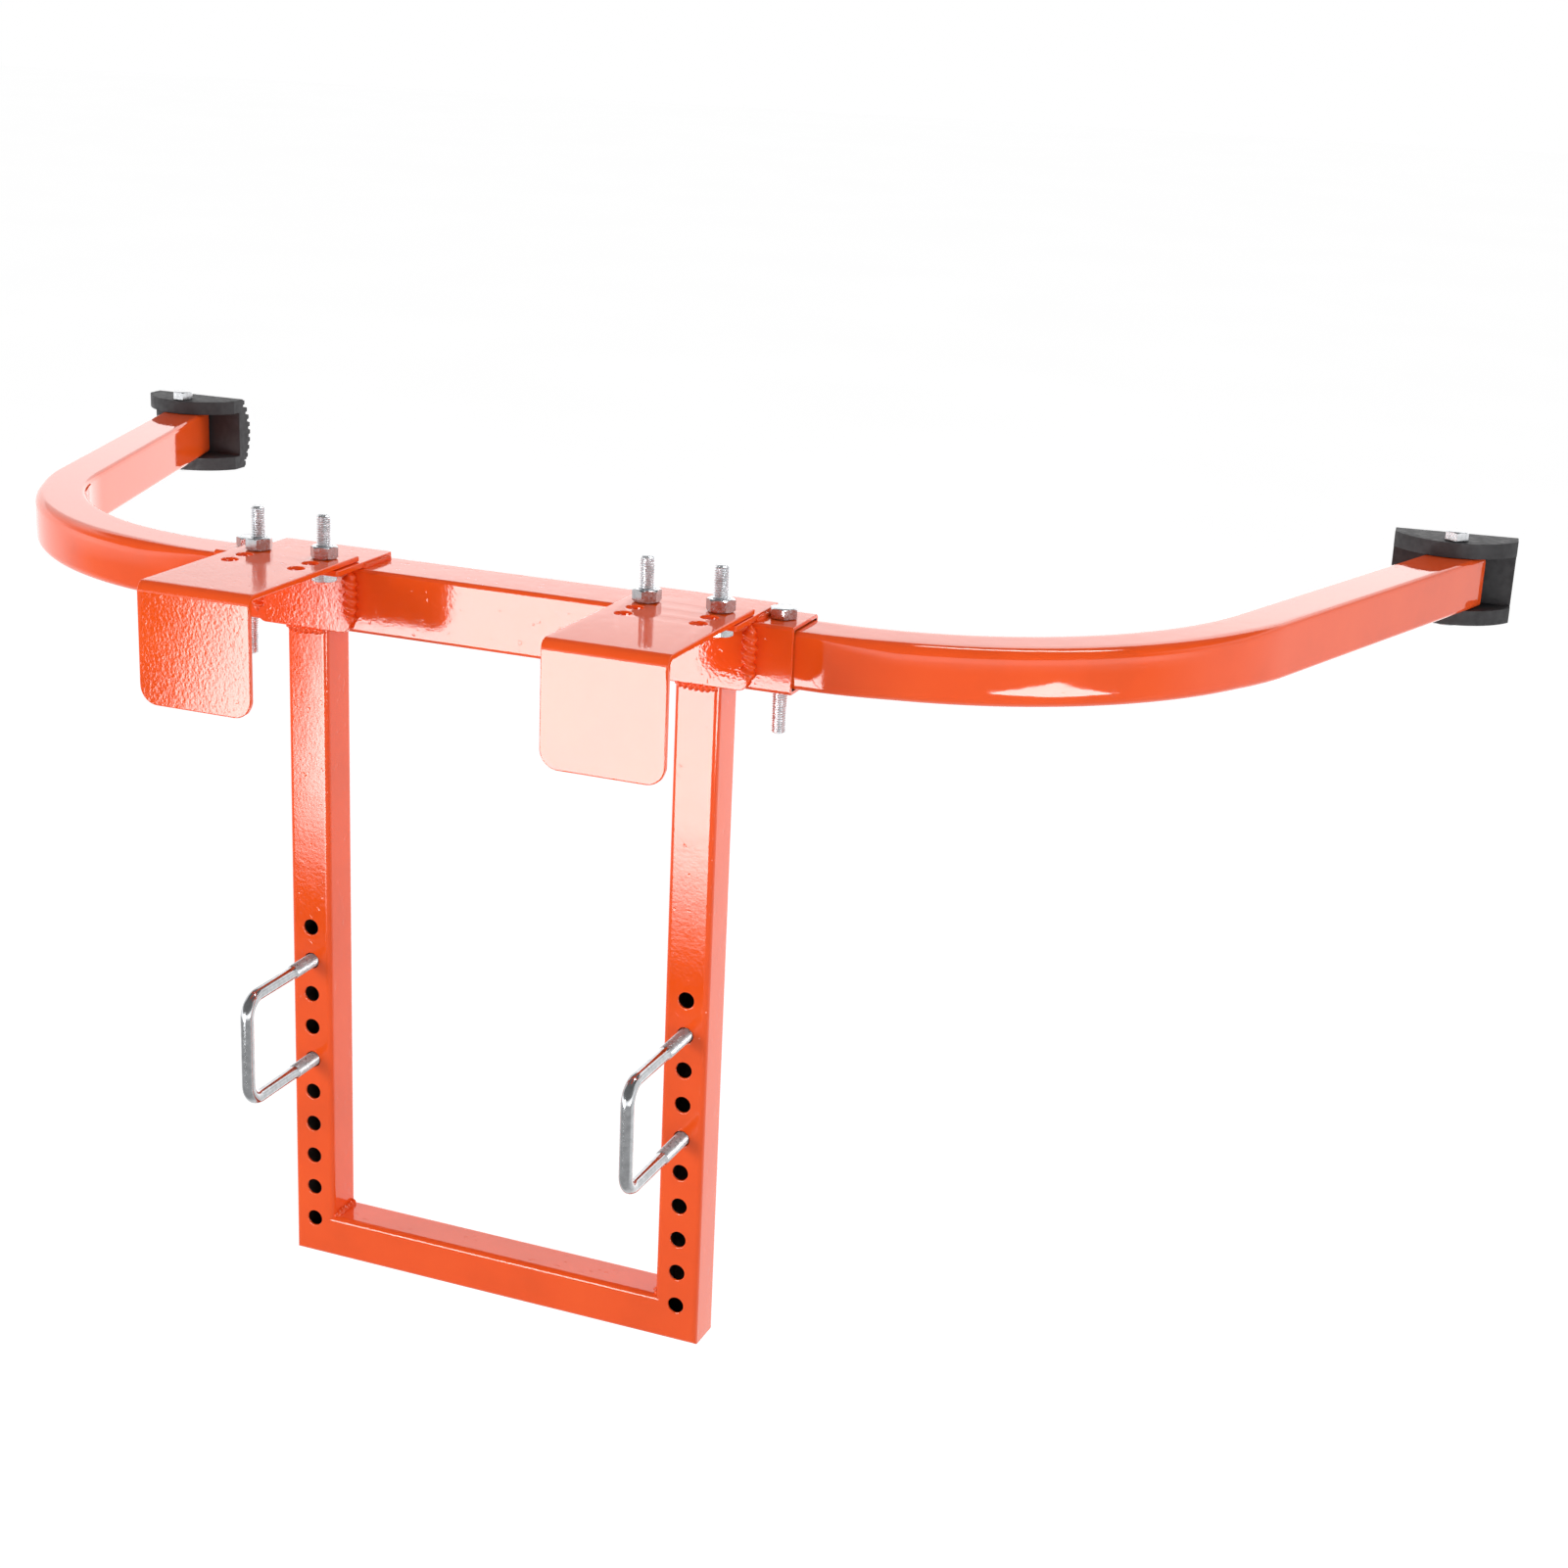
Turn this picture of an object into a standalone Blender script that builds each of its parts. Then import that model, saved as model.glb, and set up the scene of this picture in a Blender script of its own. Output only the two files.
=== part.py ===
"""Ladder stabilizer: a welded steel frame that bolts to the top of a ladder and
holds it off the wall on two curved arms with swivelling rubber feet.

Frame: the origin is the middle of the crossbar's front face, where the ladder
rests. X runs along the crossbar, Y back towards the wall, Z up. Metres.
"""
import math

import bmesh
import bpy
from mathutils import Vector

# ---- driving dimensions (metres, degrees) ----
GAP = 0.0003                 # left between touching pieces
SPARE = 0.010                # how far a trimming body runs past what it trims
ROUND_SIDES = 16             # sides of a round hole or shank
NUT_SIDES = 24               # a multiple of 12, so that the hexagon's corners are met
CLAMP_SIDES = 12
CORNER_STEPS = 3             # facets round a tube's corner
FOLD_STEPS = 6               # facets round a fold or a plate's corner
NOSE_STEPS = 16              # facets round a foot's curved front
SHARP_ANGLE = 35             # degrees between faces that stay a crisp edge

TUBE_INNER_CORNER = 0.0006   # least radius inside a tube's corner

CROSSBAR_SIZE = 0.035        # square sleeve
CROSSBAR_LENGTH = 0.336
CROSSBAR_WALL = 0.002
CROSSBAR_CORNER = 0.0022

LEG_SIZE = 0.025             # square tube of the lower frame
LEG_WALL = 0.0015
LEG_CORNER = 0.0018
LEG_SPACING = 0.228          # centre to centre
LEG_SHIFT = 0.0036           # the welded legs sit this far right of the crossbar's middle
LEG_DROP = 0.375             # below the crossbar
LEG_HOLE_DIAMETER = 0.009
LEG_HOLE_PITCH = 0.020
LEG_HOLE_COUNT = 10
LEG_HOLE_FIRST = 0.022       # lowest hole above the frame's bottom

ARM_SIZE = 0.030             # square tube plugged into the crossbar
ARM_WALL = 0.0015
ARM_CORNER = 0.003
ARM_PLUG_END = 0.109         # inner end, from the middle of the crossbar
ARM_BEND_START = 0.182
ARM_BEND_RADIUS = 0.196      # to the tube's centre line
ARM_BEND_ANGLE = 72.3
ARM_BEND_FACETS = 20
ARM_STRAIGHT = 0.240         # after the bend
ARM_BOLT_X = 0.156

PLATE = 0.003                # sheet thickness of every bracket piece
BRACKET_X = {"left": -0.110, "right": 0.114}    # middles of the base plates
HOOK_SHIFT = {"left": -0.0018, "right": -0.0003}   # bolts and hook plate against the base plate
BASE_WIDTH = 0.066
BASE_OVERHANG = 0.023        # in front of the crossbar
FRONT_PLATE_WIDTH = 0.057
FRONT_PLATE_HEIGHT = 0.035
FRONT_PLATE_CORNER = 0.005

HOOK_WIDTH = 0.0655
HOOK_REACH = 0.1045          # flange's outer face in front of the crossbar
HOOK_REAR_MARGIN = 0.0155    # rear edge behind the bolts
HOOK_FLANGE_BOTTOM = -0.0395
HOOK_FLANGE_CORNER = 0.010
HOOK_BEND = 0.0055           # outer radius of the fold
HOOK_COLUMN_SPACING = 0.040
HOOK_ROW_PITCH = 0.0140
HOOK_ROWS = 3
HOOK_BOLT_Y = -0.0115

M8_SHANK = 0.008
M8_CLEARANCE = 0.009
M8_ACROSS_FLATS = 0.013
M8_HEAD = 0.0053
M8_NUT = 0.0065
M8_NUT_BORE = 0.0082
HOOK_BOLT_LENGTH = 0.030
ARM_BOLT_LENGTH = 0.060
FOOT_BOLT_LENGTH = 0.050

CLAMP_LOWER_HOLE = 5         # leg holes that the U-bolt uses, from the bottom
CLAMP_UPPER_HOLE = 8
CLAMP_STAND = {"left": 0.066, "right": 0.072}   # loop's bar ahead of the legs
CLAMP_BAR = 0.0072           # plain bar
CLAMP_BEND = 0.011           # to the bar's centre line
CLAMP_LENGTH = 0.104         # bar to thread tip
CLAMP_THREAD = 0.058
CLAMP_TAPER = 0.001          # between the thread and the thinner plain bar

FOOT_WIDTH = 0.070
FOOT_FLANGE = 0.009
FOOT_FRONT = 0.0095          # flange's nose ahead of the bolt
FOOT_ENDS = 0.011            # flange's two front corners, behind the bolt
FOOT_INNER_WALL = 0.0172     # pocket's back, behind the bolt
FOOT_EDGE = 0.0225           # pad's top and bottom edges, behind the bolt
FOOT_BULGE = 0.0085          # how far the pad swells past its edges
FOOT_RIBS = 9
FOOT_RIB_DEPTH = 0.002
FOOT_RIB_CROWN = (0.3, 0.8)  # flat top of a rib, as shares of the rib's pitch
FOOT_RIB_SLOPE = 0.1         # width of a rib's flank, as a share of the pitch
FOOT_BOLT_TO_TIP = 0.0105
FOOT_NUT_BORE = 0.016          # round recess that the nut sits in
FOOT_NUT_RECESS = 0.0055
FOOT_TURN = {"left": 0.0, "right": 6.0}         # resting swivel about the bolt

# ---- derived places ----
CROSSBAR_MIDDLE_Y = CROSSBAR_SIZE / 2
CROSSBAR_TOP = CROSSBAR_SIZE / 2
BASE_BOTTOM = CROSSBAR_TOP + GAP
BASE_TOP = BASE_BOTTOM + PLATE
HOOK_BOTTOM = BASE_TOP + GAP
HOOK_TOP = HOOK_BOTTOM + PLATE
LEG_TOP = -CROSSBAR_TOP - GAP
LEG_BOTTOM = -CROSSBAR_TOP - LEG_DROP
FOOT_HALF_HEIGHT = ARM_SIZE / 2 + GAP + FOOT_FLANGE
SIDES = (("left", -1), ("right", 1))


# ---- materials ----
def material(name, colour, roughness, metallic):
    """A plain Principled material."""
    mat = bpy.data.materials.new(name)
    mat.use_nodes = True
    shader = mat.node_tree.nodes["Principled BSDF"]
    shader.inputs["Base Color"].default_value = (*colour, 1.0)
    shader.inputs["Roughness"].default_value = roughness
    shader.inputs["Metallic"].default_value = metallic
    return mat


def make_materials():
    return {
        "orange": material("orange_powder_coat", (0.83, 0.13, 0.02), 0.2, 0.0),
        "zinc": material("zinc_plated_steel", (0.72, 0.73, 0.75), 0.3, 1.0),
        "rubber": material("black_rubber", (0.03, 0.03, 0.035), 0.75, 0.0),
    }


# ---- mesh helpers ----
def add_object(name, bm, mat, location=(0, 0, 0), turn=0.0):
    """Turn a bmesh into a named object with outward faces and smooth round sides."""
    bmesh.ops.recalc_face_normals(bm, faces=bm.faces)
    mesh = bpy.data.meshes.new(name)
    bm.to_mesh(mesh)
    bm.free()
    mesh.shade_smooth()
    mesh.set_sharp_from_angle(angle=math.radians(SHARP_ANGLE))
    obj = bpy.data.objects.new(name, mesh)
    obj.location = location
    obj.rotation_euler.z = math.radians(turn)
    bpy.context.collection.objects.link(obj)
    if mat:
        mesh.materials.append(mat)
    return obj


def boolean(obj, operation, bm):
    """Cut, trim or join a mesh with a second body, and keep one clean mesh."""
    tool = add_object("tool", bm, None)
    tool.location, tool.rotation_euler = obj.location, obj.rotation_euler
    step = obj.modifiers.new(operation.lower(), "BOOLEAN")
    step.operation = operation
    step.object = tool
    bpy.context.view_layer.update()
    result = obj.evaluated_get(bpy.context.evaluated_depsgraph_get())
    mesh = bpy.data.meshes.new_from_object(result)
    mesh.set_sharp_from_angle(angle=math.radians(SHARP_ANGLE))
    obj.modifiers.clear()
    old, obj.data = obj.data, mesh
    bpy.data.objects.remove(tool)
    bpy.data.meshes.remove(old)
    mesh.name = obj.name


def add_prism(bm, outline, axes, start, end):
    """Extrude a flat outline along its third axis, from start to end."""
    u_axis, v_axis, w_axis = (Vector(axis) for axis in axes)
    rings = [[bm.verts.new(u_axis * u + v_axis * v + w_axis * w) for u, v in outline]
             for w in (start, end)]
    bm.faces.new(rings[0])
    bm.faces.new(rings[1])
    count = len(outline)
    for i in range(count):
        j = (i + 1) % count
        bm.faces.new((rings[0][i], rings[0][j], rings[1][j], rings[1][i]))


UPRIGHT = ((1, 0, 0), (0, 1, 0), (0, 0, 1))      # outline in plan, height along Z
FACING = ((1, 0, 0), (0, 0, 1), (0, 1, 0))       # outline seen from the front
SIDEWAYS = ((0, 1, 0), (0, 0, 1), (1, 0, 0))     # outline seen from the side


def circle(radius, sides=ROUND_SIDES, phase=0.0):
    steps = [phase + 2 * math.pi * i / sides for i in range(sides)]
    return [(radius * math.cos(a), radius * math.sin(a)) for a in steps]


def shifted(outline, du, dv):
    return [(u + du, v + dv) for u, v in outline]


def arc(centre, radius, start, end, steps):
    """Points on an arc, angles in degrees, both ends included."""
    angles = [math.radians(start + (end - start) * i / steps) for i in range(steps + 1)]
    return [(centre[0] + radius * math.cos(a), centre[1] + radius * math.sin(a)) for a in angles]


def hexagon(phase=0.0):
    return circle(M8_ACROSS_FLATS / math.sqrt(3), 6, phase)


def rounded_square(size, corner):
    inset = size / 2 - corner
    centres = ((inset, inset, 0), (-inset, inset, 90), (-inset, -inset, 180), (inset, -inset, 270))
    points = []
    for x, y, start in centres:
        points += arc((x, y), corner, start, start + 90, CORNER_STEPS)
    return points


def tube_along(bm, stations, size, corner, wall):
    """Sweep a hollow square tube through (centre, sideways, slant) stations.

    slant shifts the tube along its own run in step with the sideways offset, so
    that a slant of 1 cuts the end at 45 degrees. Up is always square to both.
    """
    inner_corner = max(corner - wall, TUBE_INNER_CORNER)
    outlines = (rounded_square(size, corner), rounded_square(size - 2 * wall, inner_corner))
    rings = [[], []]
    for centre, sideways, along, slant in stations:
        up = sideways.cross(along)
        for loops, outline in zip(rings, outlines):
            loops.append([bm.verts.new(centre + sideways * u + up * v + along * (slant * u))
                          for u, v in outline])
    count = len(outlines[0])
    for i in range(count):
        j = (i + 1) % count
        for loops in rings:
            for first, second in zip(loops, loops[1:]):
                bm.faces.new((first[i], first[j], second[j], second[i]))
        for end in (0, -1):
            outer, inner = rings[0][end], rings[1][end]
            bm.faces.new((outer[i], outer[j], inner[j], inner[i]))


def station(centre, sideways, along, slant=0.0):
    return Vector(centre), Vector(sideways), Vector(along), slant


# ---- welded frame ----
def make_crossbar(mats):
    bm = bmesh.new()
    half = CROSSBAR_LENGTH / 2
    stations = [station((x, 0, 0), (0, 1, 0), (1, 0, 0)) for x in (-half, half)]
    tube_along(bm, stations, CROSSBAR_SIZE, CROSSBAR_CORNER, CROSSBAR_WALL)
    bar = add_object("crossbar_sleeve", bm, mats["orange"], (0, CROSSBAR_MIDDLE_Y, 0))
    cutter = bmesh.new()
    for _, sign in SIDES:
        hole = shifted(circle(M8_CLEARANCE / 2), sign * ARM_BOLT_X, 0)
        add_prism(cutter, hole, UPRIGHT, -CROSSBAR_SIZE, CROSSBAR_SIZE)
    boolean(bar, "DIFFERENCE", cutter)


def leg_x(sign):
    return sign * LEG_SPACING / 2 + LEG_SHIFT


def leg_hole_height(index):
    return LEG_BOTTOM + LEG_HOLE_FIRST + index * LEG_HOLE_PITCH


def make_leg(side, sign, mats):
    """One upright, cut at 45 degrees where it meets the bottom bar."""
    bm = bmesh.new()
    stations = [station((0, 0, LEG_BOTTOM + LEG_SIZE / 2 + GAP), (-sign, 0, 0), (0, 0, 1), 1.0),
                station((0, 0, LEG_TOP), (-sign, 0, 0), (0, 0, 1))]
    tube_along(bm, stations, LEG_SIZE, LEG_CORNER, LEG_WALL)
    x = leg_x(sign)
    leg = add_object(f"leg_{side}", bm, mats["orange"], (x, LEG_SIZE / 2, 0))
    cutter = bmesh.new()
    for index in range(LEG_HOLE_COUNT):
        hole = shifted(circle(LEG_HOLE_DIAMETER / 2), 0, leg_hole_height(index))
        add_prism(cutter, hole, FACING, -LEG_SIZE, LEG_SIZE)
    boolean(leg, "DIFFERENCE", cutter)


def make_bottom_bar(mats):
    bm = bmesh.new()
    half = LEG_SPACING / 2
    stations = [station((-half, 0, 0), (0, 0, -1), (1, 0, 0), -1.0),
                station((half, 0, 0), (0, 0, -1), (1, 0, 0), 1.0)]
    tube_along(bm, stations, LEG_SIZE, LEG_CORNER, LEG_WALL)
    z = LEG_BOTTOM + LEG_SIZE / 2
    add_object("bottom_bar", bm, mats["orange"], (LEG_SHIFT, LEG_SIZE / 2, z))


def make_base_plate(side, sign, mats):
    """The flat plate welded on the crossbar, with the two bolt holes."""
    bm = bmesh.new()
    half = BASE_WIDTH / 2
    depth = CROSSBAR_SIZE - CROSSBAR_CORNER / 2
    outline = [(-half, -BASE_OVERHANG), (half, -BASE_OVERHANG), (half, depth), (-half, depth)]
    add_prism(bm, outline, UPRIGHT, 0, PLATE)
    x = BRACKET_X[side]
    plate = add_object(f"base_plate_{side}", bm, mats["orange"], (x, 0, BASE_BOTTOM))
    cutter = bmesh.new()
    for column in (-1, 1):
        du = HOOK_SHIFT[side] + column * HOOK_COLUMN_SPACING / 2
        add_prism(cutter, shifted(circle(M8_CLEARANCE / 2), du, HOOK_BOLT_Y), UPRIGHT, -PLATE, 2 * PLATE)
    boolean(plate, "DIFFERENCE", cutter)


def make_front_plate(side, sign, mats):
    """The stiffener on the crossbar's front face, below the base plate."""
    bm = bmesh.new()
    half, corner = FRONT_PLATE_WIDTH / 2, FRONT_PLATE_CORNER
    inset, low = half - corner, -FRONT_PLATE_HEIGHT + corner
    outline = arc((-inset, low), corner, 180, 270, FOLD_STEPS)
    outline += arc((inset, low), corner, 270, 360, FOLD_STEPS)
    outline += [(half, 0), (-half, 0)]
    add_prism(bm, outline, FACING, -PLATE - GAP, -GAP)
    x = leg_x(sign)
    add_object(f"front_plate_{side}", bm, mats["orange"], (x, 0, CROSSBAR_TOP))


# ---- bolted hook plates ----
def make_hook_plate(side, sign, mats):
    """An L-shaped plate: flat on the base plate, folded down over the rung."""
    bm = bmesh.new()
    top, front = PLATE, -HOOK_REACH
    rear = HOOK_BOLT_Y + HOOK_REAR_MARGIN
    centre = (front + HOOK_BEND, top - HOOK_BEND)
    bottom = HOOK_FLANGE_BOTTOM - HOOK_BOTTOM
    profile = arc(centre, HOOK_BEND, 180, 90, FOLD_STEPS) + [(rear, top), (rear, 0)]
    profile += arc(centre, HOOK_BEND - PLATE, 90, 180, FOLD_STEPS)
    profile += [(front + PLATE, bottom), (front, bottom)]
    half = HOOK_WIDTH / 2
    add_prism(bm, profile, SIDEWAYS, -half - SPARE, half + SPARE)
    x = BRACKET_X[side] + HOOK_SHIFT[side]
    hook = add_object(f"hook_plate_{side}", bm, mats["orange"], (x, 0, HOOK_BOTTOM))
    trim = bmesh.new()
    corner = HOOK_FLANGE_CORNER
    low = bottom + corner
    outline = arc((-half + corner, low), corner, 180, 270, FOLD_STEPS)
    outline += arc((half - corner, low), corner, 270, 360, FOLD_STEPS)
    outline += [(half, top + SPARE), (-half, top + SPARE)]
    add_prism(trim, outline, FACING, front - SPARE, rear + SPARE)
    boolean(hook, "INTERSECT", trim)
    cutter = bmesh.new()
    for column in (-1, 1):
        for row in range(HOOK_ROWS):
            du, dv = column * HOOK_COLUMN_SPACING / 2, HOOK_BOLT_Y - row * HOOK_ROW_PITCH
            add_prism(cutter, shifted(circle(M8_CLEARANCE / 2), du, dv), UPRIGHT, -PLATE, 2 * PLATE)
    boolean(hook, "DIFFERENCE", cutter)


# ---- fasteners ----
def make_bolt(name, length, mats, location, head_up):
    """A hex bolt whose origin is under its head; head_up points the shank down."""
    sign = 1 if head_up else -1
    bm = bmesh.new()
    add_prism(bm, hexagon(), UPRIGHT, 0, sign * M8_HEAD)
    bolt = add_object(name, bm, mats["zinc"], location)
    shank = bmesh.new()
    add_prism(shank, circle(M8_SHANK / 2), UPRIGHT, sign * M8_HEAD / 2, -sign * length)
    boolean(bolt, "UNION", shank)


def add_nut(bm, axes, start, end):
    """A hex nut: a hexagonal ring between two round and two hexagonal loops."""
    u_axis, v_axis, w_axis = (Vector(axis) for axis in axes)
    flats = M8_ACROSS_FLATS / 2
    outer, inner = [], []
    for i in range(NUT_SIDES):
        angle = 2 * math.pi * i / NUT_SIDES
        within = (math.degrees(angle) + 30) % 60 - 30
        reach = flats / math.cos(math.radians(within))
        outer.append((reach * math.cos(angle), reach * math.sin(angle)))
        inner.append((M8_NUT_BORE / 2 * math.cos(angle), M8_NUT_BORE / 2 * math.sin(angle)))
    loops = [[bm.verts.new(u_axis * u + v_axis * v + w_axis * w) for u, v in outline]
             for w in (start, end) for outline in (outer, inner)]
    for i in range(NUT_SIDES):
        j = (i + 1) % NUT_SIDES
        for a, b in ((0, 1), (1, 3), (3, 2), (2, 0)):
            bm.faces.new((loops[a][i], loops[a][j], loops[b][j], loops[b][i]))


def make_nut(name, mats, location, axes=UPRIGHT):
    bm = bmesh.new()
    add_nut(bm, axes, 0, M8_NUT)
    add_object(name, bm, mats["zinc"], location)


def make_hook_bolts(side, sign, mats):
    for place, column in (("outer", sign), ("inner", -sign)):
        x = BRACKET_X[side] + HOOK_SHIFT[side] + column * HOOK_COLUMN_SPACING / 2
        make_bolt(f"hook_bolt_{side}_{place}", HOOK_BOLT_LENGTH, mats,
                  (x, HOOK_BOLT_Y, BASE_BOTTOM - GAP), head_up=False)
        make_nut(f"hook_nut_{side}_{place}", mats, (x, HOOK_BOLT_Y, HOOK_TOP + GAP))


# ---- arms and feet ----
def arm_axis_point(distance):
    """Centre line of the right arm's straight end, that far past the bend."""
    angle = math.radians(ARM_BEND_ANGLE)
    x = ARM_BEND_START + ARM_BEND_RADIUS * math.sin(angle) + distance * math.cos(angle)
    y = ARM_BEND_RADIUS * (1 - math.cos(angle)) + distance * math.sin(angle)
    return x, y + CROSSBAR_MIDDLE_Y


def arm_stations(sign):
    """Straight plug, one long bend towards the wall, straight end."""
    count = ARM_BEND_FACETS
    angles = [math.radians(ARM_BEND_ANGLE * i / count) for i in range(count + 1)]
    places = [((ARM_PLUG_END, 0.0), 0.0)]
    for angle in angles:
        x = ARM_BEND_START + ARM_BEND_RADIUS * math.sin(angle)
        places.append(((x, ARM_BEND_RADIUS * (1 - math.cos(angle))), angle))
    tip_x, tip_y = arm_axis_point(ARM_STRAIGHT)
    places.append(((tip_x, tip_y - CROSSBAR_MIDDLE_Y), angles[-1]))
    stations = []
    for (x, y), angle in places:
        along = (sign * math.cos(angle), math.sin(angle), 0)
        sideways = (-sign * math.sin(angle), math.cos(angle), 0)
        stations.append(station((sign * x, y, 0), sideways, along))
    return stations


def foot_pivot(sign):
    x, y = arm_axis_point(ARM_STRAIGHT - FOOT_BOLT_TO_TIP)
    return Vector((sign * x, y, 0))


def make_arm(side, sign, mats):
    bm = bmesh.new()
    tube_along(bm, arm_stations(sign), ARM_SIZE, ARM_CORNER, ARM_WALL)
    arm = add_object(f"arm_{side}", bm, mats["orange"], (0, CROSSBAR_MIDDLE_Y, 0))
    pivot = foot_pivot(sign)
    cutter = bmesh.new()
    for x, y in ((sign * ARM_BOLT_X, 0), (pivot.x, pivot.y - CROSSBAR_MIDDLE_Y)):
        add_prism(cutter, shifted(circle(M8_CLEARANCE / 2), x, y), UPRIGHT, -ARM_SIZE, ARM_SIZE)
    boolean(arm, "DIFFERENCE", cutter)
    make_bolt(f"arm_bolt_{side}", ARM_BOLT_LENGTH, mats,
              (sign * ARM_BOLT_X, CROSSBAR_MIDDLE_Y, CROSSBAR_TOP + GAP), head_up=True)
    weld_nut_bottom = -ARM_SIZE / 2 + ARM_WALL + GAP
    make_nut(f"arm_weld_nut_{side}", mats, (sign * ARM_BOLT_X, CROSSBAR_MIDDLE_Y, weld_nut_bottom))


def pad_profile():
    """Side view of the pad's back, bottom to top: flat ribs on a barrel curve."""
    half = FOOT_HALF_HEIGHT
    radius = (half ** 2 + FOOT_BULGE ** 2) / (2 * FOOT_BULGE)
    pitch = 2 * half / FOOT_RIBS
    start, end = FOOT_RIB_CROWN
    points = []
    for rib in range(FOOT_RIBS):
        low = -half + rib * pitch
        middle = low + pitch / 2
        crown = FOOT_EDGE + FOOT_BULGE - radius + math.sqrt(radius ** 2 - middle ** 2)
        groove = crown - FOOT_RIB_DEPTH
        points.append((groove, low))
        if rib:
            points.append((groove, low + (start - FOOT_RIB_SLOPE) * pitch))
        points += [(crown, low + start * pitch), (crown, low + end * pitch),
                   (groove, low + (end + FOOT_RIB_SLOPE) * pitch)]
    return points + [(points[0][0], half)]


def make_foot(side, sign, mats):
    """A rubber shoe: two D-shaped flanges around the arm's tip and a ribbed pad."""
    half = FOOT_HALF_HEIGHT
    inner = ARM_SIZE / 2 + GAP
    profile = pad_profile()
    profile += [(-FOOT_FRONT - SPARE, half), (-FOOT_FRONT - SPARE, inner), (FOOT_INNER_WALL, inner)]
    profile += [(FOOT_INNER_WALL, -inner), (-FOOT_FRONT - SPARE, -inner), (-FOOT_FRONT - SPARE, -half)]
    bm = bmesh.new()
    wide = FOOT_WIDTH / 2
    add_prism(bm, profile, SIDEWAYS, -wide - SPARE, wide + SPARE)
    pivot = foot_pivot(sign)
    foot = add_object(f"foot_{side}", bm, mats["rubber"], pivot, FOOT_TURN[side])
    rise = FOOT_FRONT + FOOT_ENDS
    nose_radius = (wide ** 2 + rise ** 2) / (2 * rise)
    reach = math.degrees(math.asin(wide / nose_radius))
    nose = arc((0, nose_radius - FOOT_FRONT), nose_radius, 270 - reach, 270 + reach, NOSE_STEPS)
    back = FOOT_EDGE + FOOT_BULGE + SPARE
    trim = bmesh.new()
    add_prism(trim, nose + [(wide, back), (-wide, back)], UPRIGHT, -half - SPARE, half + SPARE)
    boolean(foot, "INTERSECT", trim)
    cutter = bmesh.new()
    add_prism(cutter, circle(M8_CLEARANCE / 2), UPRIGHT, -half - SPARE, half + SPARE)
    boolean(foot, "DIFFERENCE", cutter)
    recess = bmesh.new()
    seat = FOOT_NUT_RECESS - half
    add_prism(recess, circle(FOOT_NUT_BORE / 2), UPRIGHT, -half - SPARE, seat)
    boolean(foot, "DIFFERENCE", recess)
    top = pivot + Vector((0, 0, half + GAP))
    make_bolt(f"foot_bolt_{side}", FOOT_BOLT_LENGTH, mats, top, head_up=True)
    make_nut(f"foot_nut_{side}", mats, pivot + Vector((0, 0, seat - GAP - M8_NUT)))


# ---- U-bolt clamps ----
def clamp_run():
    """The U-bolt's centre line in (y, z) about its lower arm, with bar radii."""
    height = (CLAMP_UPPER_HOLE - CLAMP_LOWER_HOLE) * LEG_HOLE_PITCH
    bend, plain, thread = CLAMP_BEND, CLAMP_BAR / 2, M8_SHANK / 2
    tip, shoulder = CLAMP_LENGTH, CLAMP_LENGTH - CLAMP_THREAD
    lower = [((tip, 0), thread), ((shoulder, 0), thread), ((shoulder - CLAMP_TAPER, 0), plain)]
    lower += [(point, plain) for point in arc((bend, bend), bend, 270, 180, FOLD_STEPS)]
    upper = [((y, height - z), radius) for (y, z), radius in reversed(lower)]
    return lower + upper


def make_clamp(side, sign, mats):
    run = clamp_run()
    bm = bmesh.new()
    rings = []
    for i, ((y, z), radius) in enumerate(run):
        before, after = run[max(i - 1, 0)][0], run[min(i + 1, len(run) - 1)][0]
        along = Vector((0, after[0] - before[0], after[1] - before[1])).normalized()
        across = Vector((1, 0, 0))
        up = along.cross(across)
        rings.append([bm.verts.new(Vector((0, y, z)) + across * u + up * v)
                      for u, v in circle(radius, CLAMP_SIDES)])
    for first, second in zip(rings, rings[1:]):
        for i in range(CLAMP_SIDES):
            j = (i + 1) % CLAMP_SIDES
            bm.faces.new((first[i], first[j], second[j], second[i]))
    bm.faces.new(rings[0])
    bm.faces.new(rings[-1])
    x = leg_x(sign)
    low, high = leg_hole_height(CLAMP_LOWER_HOLE), leg_hole_height(CLAMP_UPPER_HOLE)
    add_object(f"ubolt_{side}", bm, mats["zinc"], (x, -CLAMP_STAND[side], low))
    for place, z in (("lower", low), ("upper", high)):
        make_nut(f"ubolt_nut_{side}_{place}", mats, (x, LEG_SIZE + GAP, z), FACING)


def build():
    for old in list(bpy.data.objects):
        bpy.data.objects.remove(old)
    mats = make_materials()
    make_crossbar(mats)
    make_bottom_bar(mats)
    for side, sign in SIDES:
        make_leg(side, sign, mats)
        make_base_plate(side, sign, mats)
        make_front_plate(side, sign, mats)
        make_hook_plate(side, sign, mats)
        make_hook_bolts(side, sign, mats)
        make_arm(side, sign, mats)
        make_foot(side, sign, mats)
        make_clamp(side, sign, mats)


build()
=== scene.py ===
"""Looks of the ladder stabilizer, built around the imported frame.

Metres throughout. X runs along the crossbar, Y back to the wall, Z up, and the
origin is the middle of the crossbar's front face.
"""
import math
import random

import bmesh
import bpy
from mathutils import Matrix, Vector, noise


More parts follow.
